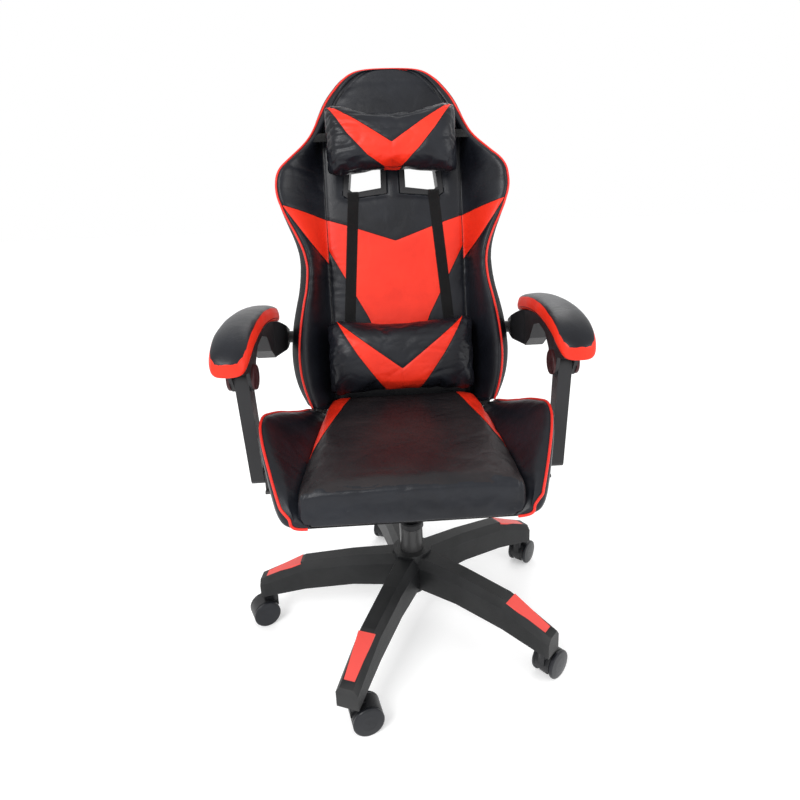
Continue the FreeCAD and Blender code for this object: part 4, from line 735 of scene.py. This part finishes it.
def make_seat_pad():
    """Crowned middle pad of the seat, with its rolled front face and two red corner panels."""
    rings = []
    for index, (y, half, top) in enumerate(PAD):
        low = PAD_FLOOR + (8 if index in (0, len(PAD) - 1) else 0)
        right = [(half * 0.35, low), (half - 20, low), (half - 4, low + 4), (half, low + 18),
                 (half, top - 16),
                 (half - 4, top - 4), (half - 20, top), (half * 0.35, top + 3)]
        left = [(-x, z) for x, z in reversed(right)]
        rings.append([(x, y, z) for x, z in right + left])
    piece = cage("seat_pad", rings)
    subdivide(piece, 2)
    fill_out(piece, 6, 5, lambda p: p.z < PAD_FLOOR + 14, slack=0.015)

    def relief(place, normal):
        x, y, z = place
        move = wrinkles(x, y * 0.4 + z, 0.006, 0.02, 0.9)
        if normal.z > 0.3:
            for sign in (1, -1):
                move += groove(distance_to([(sign * 206, -160), (sign * 118, 192)], x, y), 3, 1.2)
            move += wrinkles(x, y, 0.010, 0.012, 0.8)
        corner = math.exp(-((abs(x) - 186) / 14) ** 2)
        if y < -215:
            move += wrinkles(z, x, 0.018, 0.05, 2.4 * corner)
        return move

    push(piece, relief)
    colour_panels(piece, [SEAT_RED, [(-x, y) for x, y in SEAT_RED]], 1, lambda n: n.z > -0.2)
    for face in piece.data.polygons:
        if face.normal.y < -0.6 and face.material_index == 0:
            face.material_index = 2
    return piece


# Front to back: base, side, edge and crease distances from the middle, then side, edge and crease heights.
WINGS = (
    (-253, 205, 213, 213, 196, 392, 404, 398), (-244, 214, 229, 229, 201, 398, 420, 414),
    (-220, 222, 240, 241, 203, 408, 446, 432), (-190, 230, 250, 254, 202, 424, 474, 441),
    (-155, 237, 258, 267, 201, 432, 499, 445), (-120, 243, 265, 277, 199, 438, 520, 447),
    (-85, 245, 268, 279, 196, 440, 532, 449), (-45, 244, 267, 276, 193, 437, 521, 450),
    (0, 242, 264, 269, 189, 430, 508, 451), (60, 234, 254, 257, 185, 421, 485, 452),
    (125, 224, 237, 239, 179, 415, 460, 442), (186, 211, 219, 219, 167, 410, 445, 428),
)


def wing_point(row):
    """The seat wing's outer edge, where the piping is sewn."""
    y, base, side, edge, fold, side_z, edge_z, fold_z = row
    return (edge - 4, y, edge_z + 4)


def make_seat_wing(sign, side_name):
    """Padded side wing of the seat that rises beside the thigh and dips at both ends."""
    rings = []
    for y, base, side, edge, fold, side_z, edge_z, fold_z in WINGS:
        middle_x, middle_z = (edge - 14 + fold) / 2, (edge_z + fold_z) / 2
        ring = [
            (fold - 34, PAD_FLOOR), (base - 6, PAD_FLOOR), (base + 3, PAD_FLOOR + 5), (side, side_z),
            (edge + 2, edge_z - 8), (edge - 2, edge_z + 2), (edge - 14, edge_z + 1),
            (middle_x + 2, middle_z + 7), (fold + 6, fold_z + 3), (fold - 12, fold_z - 10),
        ]
        rings.append([(sign * x, y, z) for x, z in ring])
    piece = cage("seat_wing_" + side_name, rings)
    subdivide(piece, 3)

    def relief(place, normal):
        x, y, z = place
        low = math.exp(-((z - 440) / 34) ** 2)
        move = 0.8 * noise.noise(Vector((x, y, z)) * 0.014)
        if normal.x * sign < 0.3:
            move += wrinkles(y, x * 0.6 + z, 0.022, 0.007, 1.0 * low)
        move += wrinkles(y, z, 0.014, 0.009, 0.5)
        return move

    push(piece, relief)
    return piece


def seat_piping(surface, sign):
    """Along the wing's edge, down its front end and round its lower corner to the pad."""
    points = [wing_point(row) for row in reversed(WINGS)]
    points += [(208, -256, 396), (204, -258, 388), (195, -258, 384), (180, -257, 383)]
    line = walk([(sign * x, y, z) for x, y, z in points], 8)
    return nearest(surface, line, 1.2)


# Front to back: height of the arm pad's top below its crest, half width.
ARM_PAD = ((-188, -54, 22), (-178, -40, 31), (-160, -26, 35), (-132, -14, 36), (-95, -6, 36), (-40, 0, 34),
           (30, 0, 31), (110, -8, 29), (180, -22, 28), (206, -31, 26), (215, -38, 20))
ARM_CREST = 717.0
ARM_THICK = 34.0
ARM_CENTRE = 300.0


def arm_top(sign):
    """Outline of the black top panel of an arm pad, seen from above."""
    right = [(9, -187), (19, -184), (27, -175)] + [(0.88 * half, y) for y, _, half in ARM_PAD[2:-2]]
    right += [(20, 203), (10, 208)]
    left = [(-x, y) for x, y in reversed(right)]
    return [(sign * ARM_CENTRE + x, y) for x, y in right + left]


def arm_low_seam(sign):
    """Loop round the lower edge of an arm pad."""
    body = ARM_PAD[2:-1]
    right = [(0.98 * half, y, ARM_CREST + low - 27) for y, low, half in body]
    left = [(-x, y, z) for x, y, z in reversed(right)]
    rear = [(x, body[-1][0] + 2, right[-1][2]) for x in (14, 0, -14)]
    front = [(x, body[0][0] - 3, right[0][2] - 1) for x in (-16, 0, 16)]
    return [(sign * ARM_CENTRE + x, y, z) for x, y, z in right + rear + left + front]


def make_arm_pad(sign, side):
    """Padded arm rest: black top, red band round its edge, sewn together."""
    rings = []
    for index, (y, drop, half) in enumerate(ARM_PAD):
        top = ARM_CREST + drop
        low = top - ARM_THICK * (0.62 if index in (0, len(ARM_PAD) - 1) else 1.0)
        right = [(half * 0.5, low), (half * 0.9, low + 1), (half, low + 9), (half * 1.0, top - 14),
                 (half * 0.88, top - 4), (half * 0.72, top), (half * 0.3, top + 3)]
        left = [(-x, z) for x, z in reversed(right)]
        rings.append([(sign * ARM_CENTRE + x, y, z) for x, z in right + left])
    piece = cage("arm_cover_" + side, rings)
    crease_names = {4, 9}
    values = piece.data.attributes.new("crease_edge", "FLOAT", "EDGE").data
    for edge in piece.data.edges:
        a, b = edge.vertices
        if a % 14 in crease_names and b % 14 in crease_names and abs(a - b) == 14:
            values[edge.index].value = 0.5
    subdivide(piece, 3)
    push(piece, lambda p, n: 0.5 * noise.noise(p * 0.03))
    colour_panels(piece, [arm_top(sign)], 1, lambda n: n.z > 0.25)
    return piece


# --------------------------------------------------------- building the looks

def make_backrest():
    cover = make_back_cover()
    surface = surface_of(cover)
    piping = cords_piece("back_piping", [nearest(surface, piping_line(), 1.4)], 2.6)
    seams = [front_thread(surface, line) for line in PANEL_SEAMS]
    for sign in (1, -1):
        line = [(sign * seam_at(level), level) for level in range(24, 745, 8)]
        seams.append(front_thread(surface, line))
    threads = cords_piece("back_threads", [line for line in seams if len(line) > 3], 0.7)
    straps, band = make_straps(surface)
    dress(cover, [BLACK, RED, SHADED_SIDE], "backrest", ("back_foam", "back_rear_cover"), BACK)
    dress(piping, [PIPING], "backrest", turn=BACK)
    dress(threads, [THREAD], "backrest", turn=BACK)
    webbing = FINISHES["black_webbing"]
    for strap in straps:
        dress(strap, [webbing], "backrest", ("lumbar_straps",), turn=BACK)
    dress(band, [webbing], "backrest", ("head_strap",), turn=BACK)


def pillow_threads(piece, name, vee):
    surface = surface_of(piece)
    line = front_thread(surface, vee + vee[:1])
    return cords_piece(name, [line], 0.6)


def make_pillows():
    head = make_pillow("head_cushion", (150, 535, 703, -28, 92, 16), HEAD_VEE, 138, 0.028)
    head_threads = pillow_threads(head, "head_threads", HEAD_VEE)
    dress(head, [BLACK, RED], "backrest", ("head_pillow",), BACK)
    dress(head_threads, [THREAD], "backrest", turn=BACK)
    lumbar = make_pillow("lumbar_cushion", (170, 36, 220, -27, 100, 5), LUMBAR_VEE, 158, 0.020)
    lumbar_threads = pillow_threads(lumbar, "lumbar_threads", LUMBAR_VEE)
    dress(lumbar, [BLACK, RED], "lumbar_pillow", ("lumbar_pillow",), BACK)
    dress(lumbar_threads, [THREAD], "lumbar_pillow", turn=BACK)


def make_seat():
    pad = make_seat_pad()
    top = surface_of(pad)
    seams = []
    for sign in (1, -1):
        line = walk([(sign * 196, -120, 0), (sign * 118, 190, 0)])
        seams.append(laid(top, line, (0, 0, -1), THREAD_LIFT))
    threads = cords_piece("seat_threads", seams, 0.6)
    dress(pad, [WORN, RED, BLACK], "seat", ("seat_cushion",))
    dress(threads, [THREAD], "seat")
    lines = []
    for sign, side in SIDES:
        wing = make_seat_wing(sign, side)
        lines.append(seat_piping(surface_of(wing), sign))
        dress(wing, [BLACK], "seat", ("seat_cushion",))
    dress(cords_piece("seat_piping", lines, 2.5), [PIPING], "seat")


def make_arm_covers():
    for sign, side in SIDES:
        piece = make_arm_pad(sign, side)
        surface = surface_of(piece)
        outline = arm_top(sign)
        top = walk([(x, y, 0) for x, y in outline + outline[:1]])
        loops = [laid(surface, top, (0, 0, -1), 0.1), nearest(surface, arm_low_seam(sign), 0.1)]
        threads = cords_piece("arm_threads_" + side, loops, 0.6, closed=True)
        body = "armrest_" + side
        dress(piece, [RED, BLACK], body, ("arm_pad_" + side,))
        dress(threads, [THREAD], body)


def finish_cad_nodes():
    """Give each carried-over CAD node the finish of its material slot."""
    for row in frame["record"]["subparts"]:
        node = frame["nodes"][row["node"]]
        material = FINISHES[row["material_slot"]]
        for index in range(len(node.material_slots)):
            node.material_slots[index].material = material


def make_stage():
    """Pale floor, soft studio light and the camera."""
    bpy.ops.mesh.primitive_plane_add(size=30, location=(0, 0, 0))
    floor = bpy.context.object
    floor.name = "floor"
    paper = finish("pale_floor", (0.80, 0.80, 0.80), (0.84, 0.84, 0.84), 0.9, patch=0.6)
    shader = paper.node_tree.nodes["Principled BSDF"]
    shader.inputs["Emission Color"].default_value = (1, 1, 1, 1)
    shader.inputs["Emission Strength"].default_value = 0.30
    floor.data.materials.append(paper)
    world = bpy.data.worlds.new("studio")
    world.use_nodes = True
    world.node_tree.nodes["Background"].inputs["Color"].default_value = (1, 1, 1, 1)
    world.node_tree.nodes["Background"].inputs["Strength"].default_value = 1.0
    bpy.context.scene.world = world
    target = Vector((0, 0, 0.65))
    # name, place, size in metres, power in watts
    lamps = (
        ("key", (-1.5, -2.4, 2.5), 1.3, 62),
        ("fill", (2.3, -1.7, 1.5), 1.2, 22),
        ("rim", (0.4, 2.3, 2.4), 1.6, 12),
    )
    for name, place, size, power in lamps:
        light = bpy.data.lights.new(name, "AREA")
        light.shape = "SQUARE"
        light.size = size
        light.energy = power
        lamp = bpy.data.objects.new(name, light)
        lamp.location = place
        lamp.rotation_euler = (target - Vector(place)).to_track_quat("-Z", "Y").to_euler()
        bpy.context.scene.collection.objects.link(lamp)
    data = bpy.data.cameras.new("camera")
    data.lens = 27.0
    data.sensor_width = 36.0
    data.shift_x = -0.0245
    data.shift_y = -0.0467
    camera = bpy.data.objects.new("camera", data)
    right = Vector((0.99764, -0.05877, -0.03539))
    up = Vector((0.05027, 0.27528, 0.96005))
    ahead = Vector((0.04668, 0.95957, -0.27759))
    turn = Matrix((right, up, -ahead)).transposed().to_4x4()
    camera.matrix_world = Matrix.Translation((-0.0244, -1.1617, 0.9349)) @ turn
    bpy.context.scene.collection.objects.link(camera)
    bpy.context.scene.camera = camera
    bpy.context.scene.view_settings.view_transform = "Standard"


finish_cad_nodes()
make_backrest()
make_pillows()
make_seat()
make_arm_covers()
make_stage()
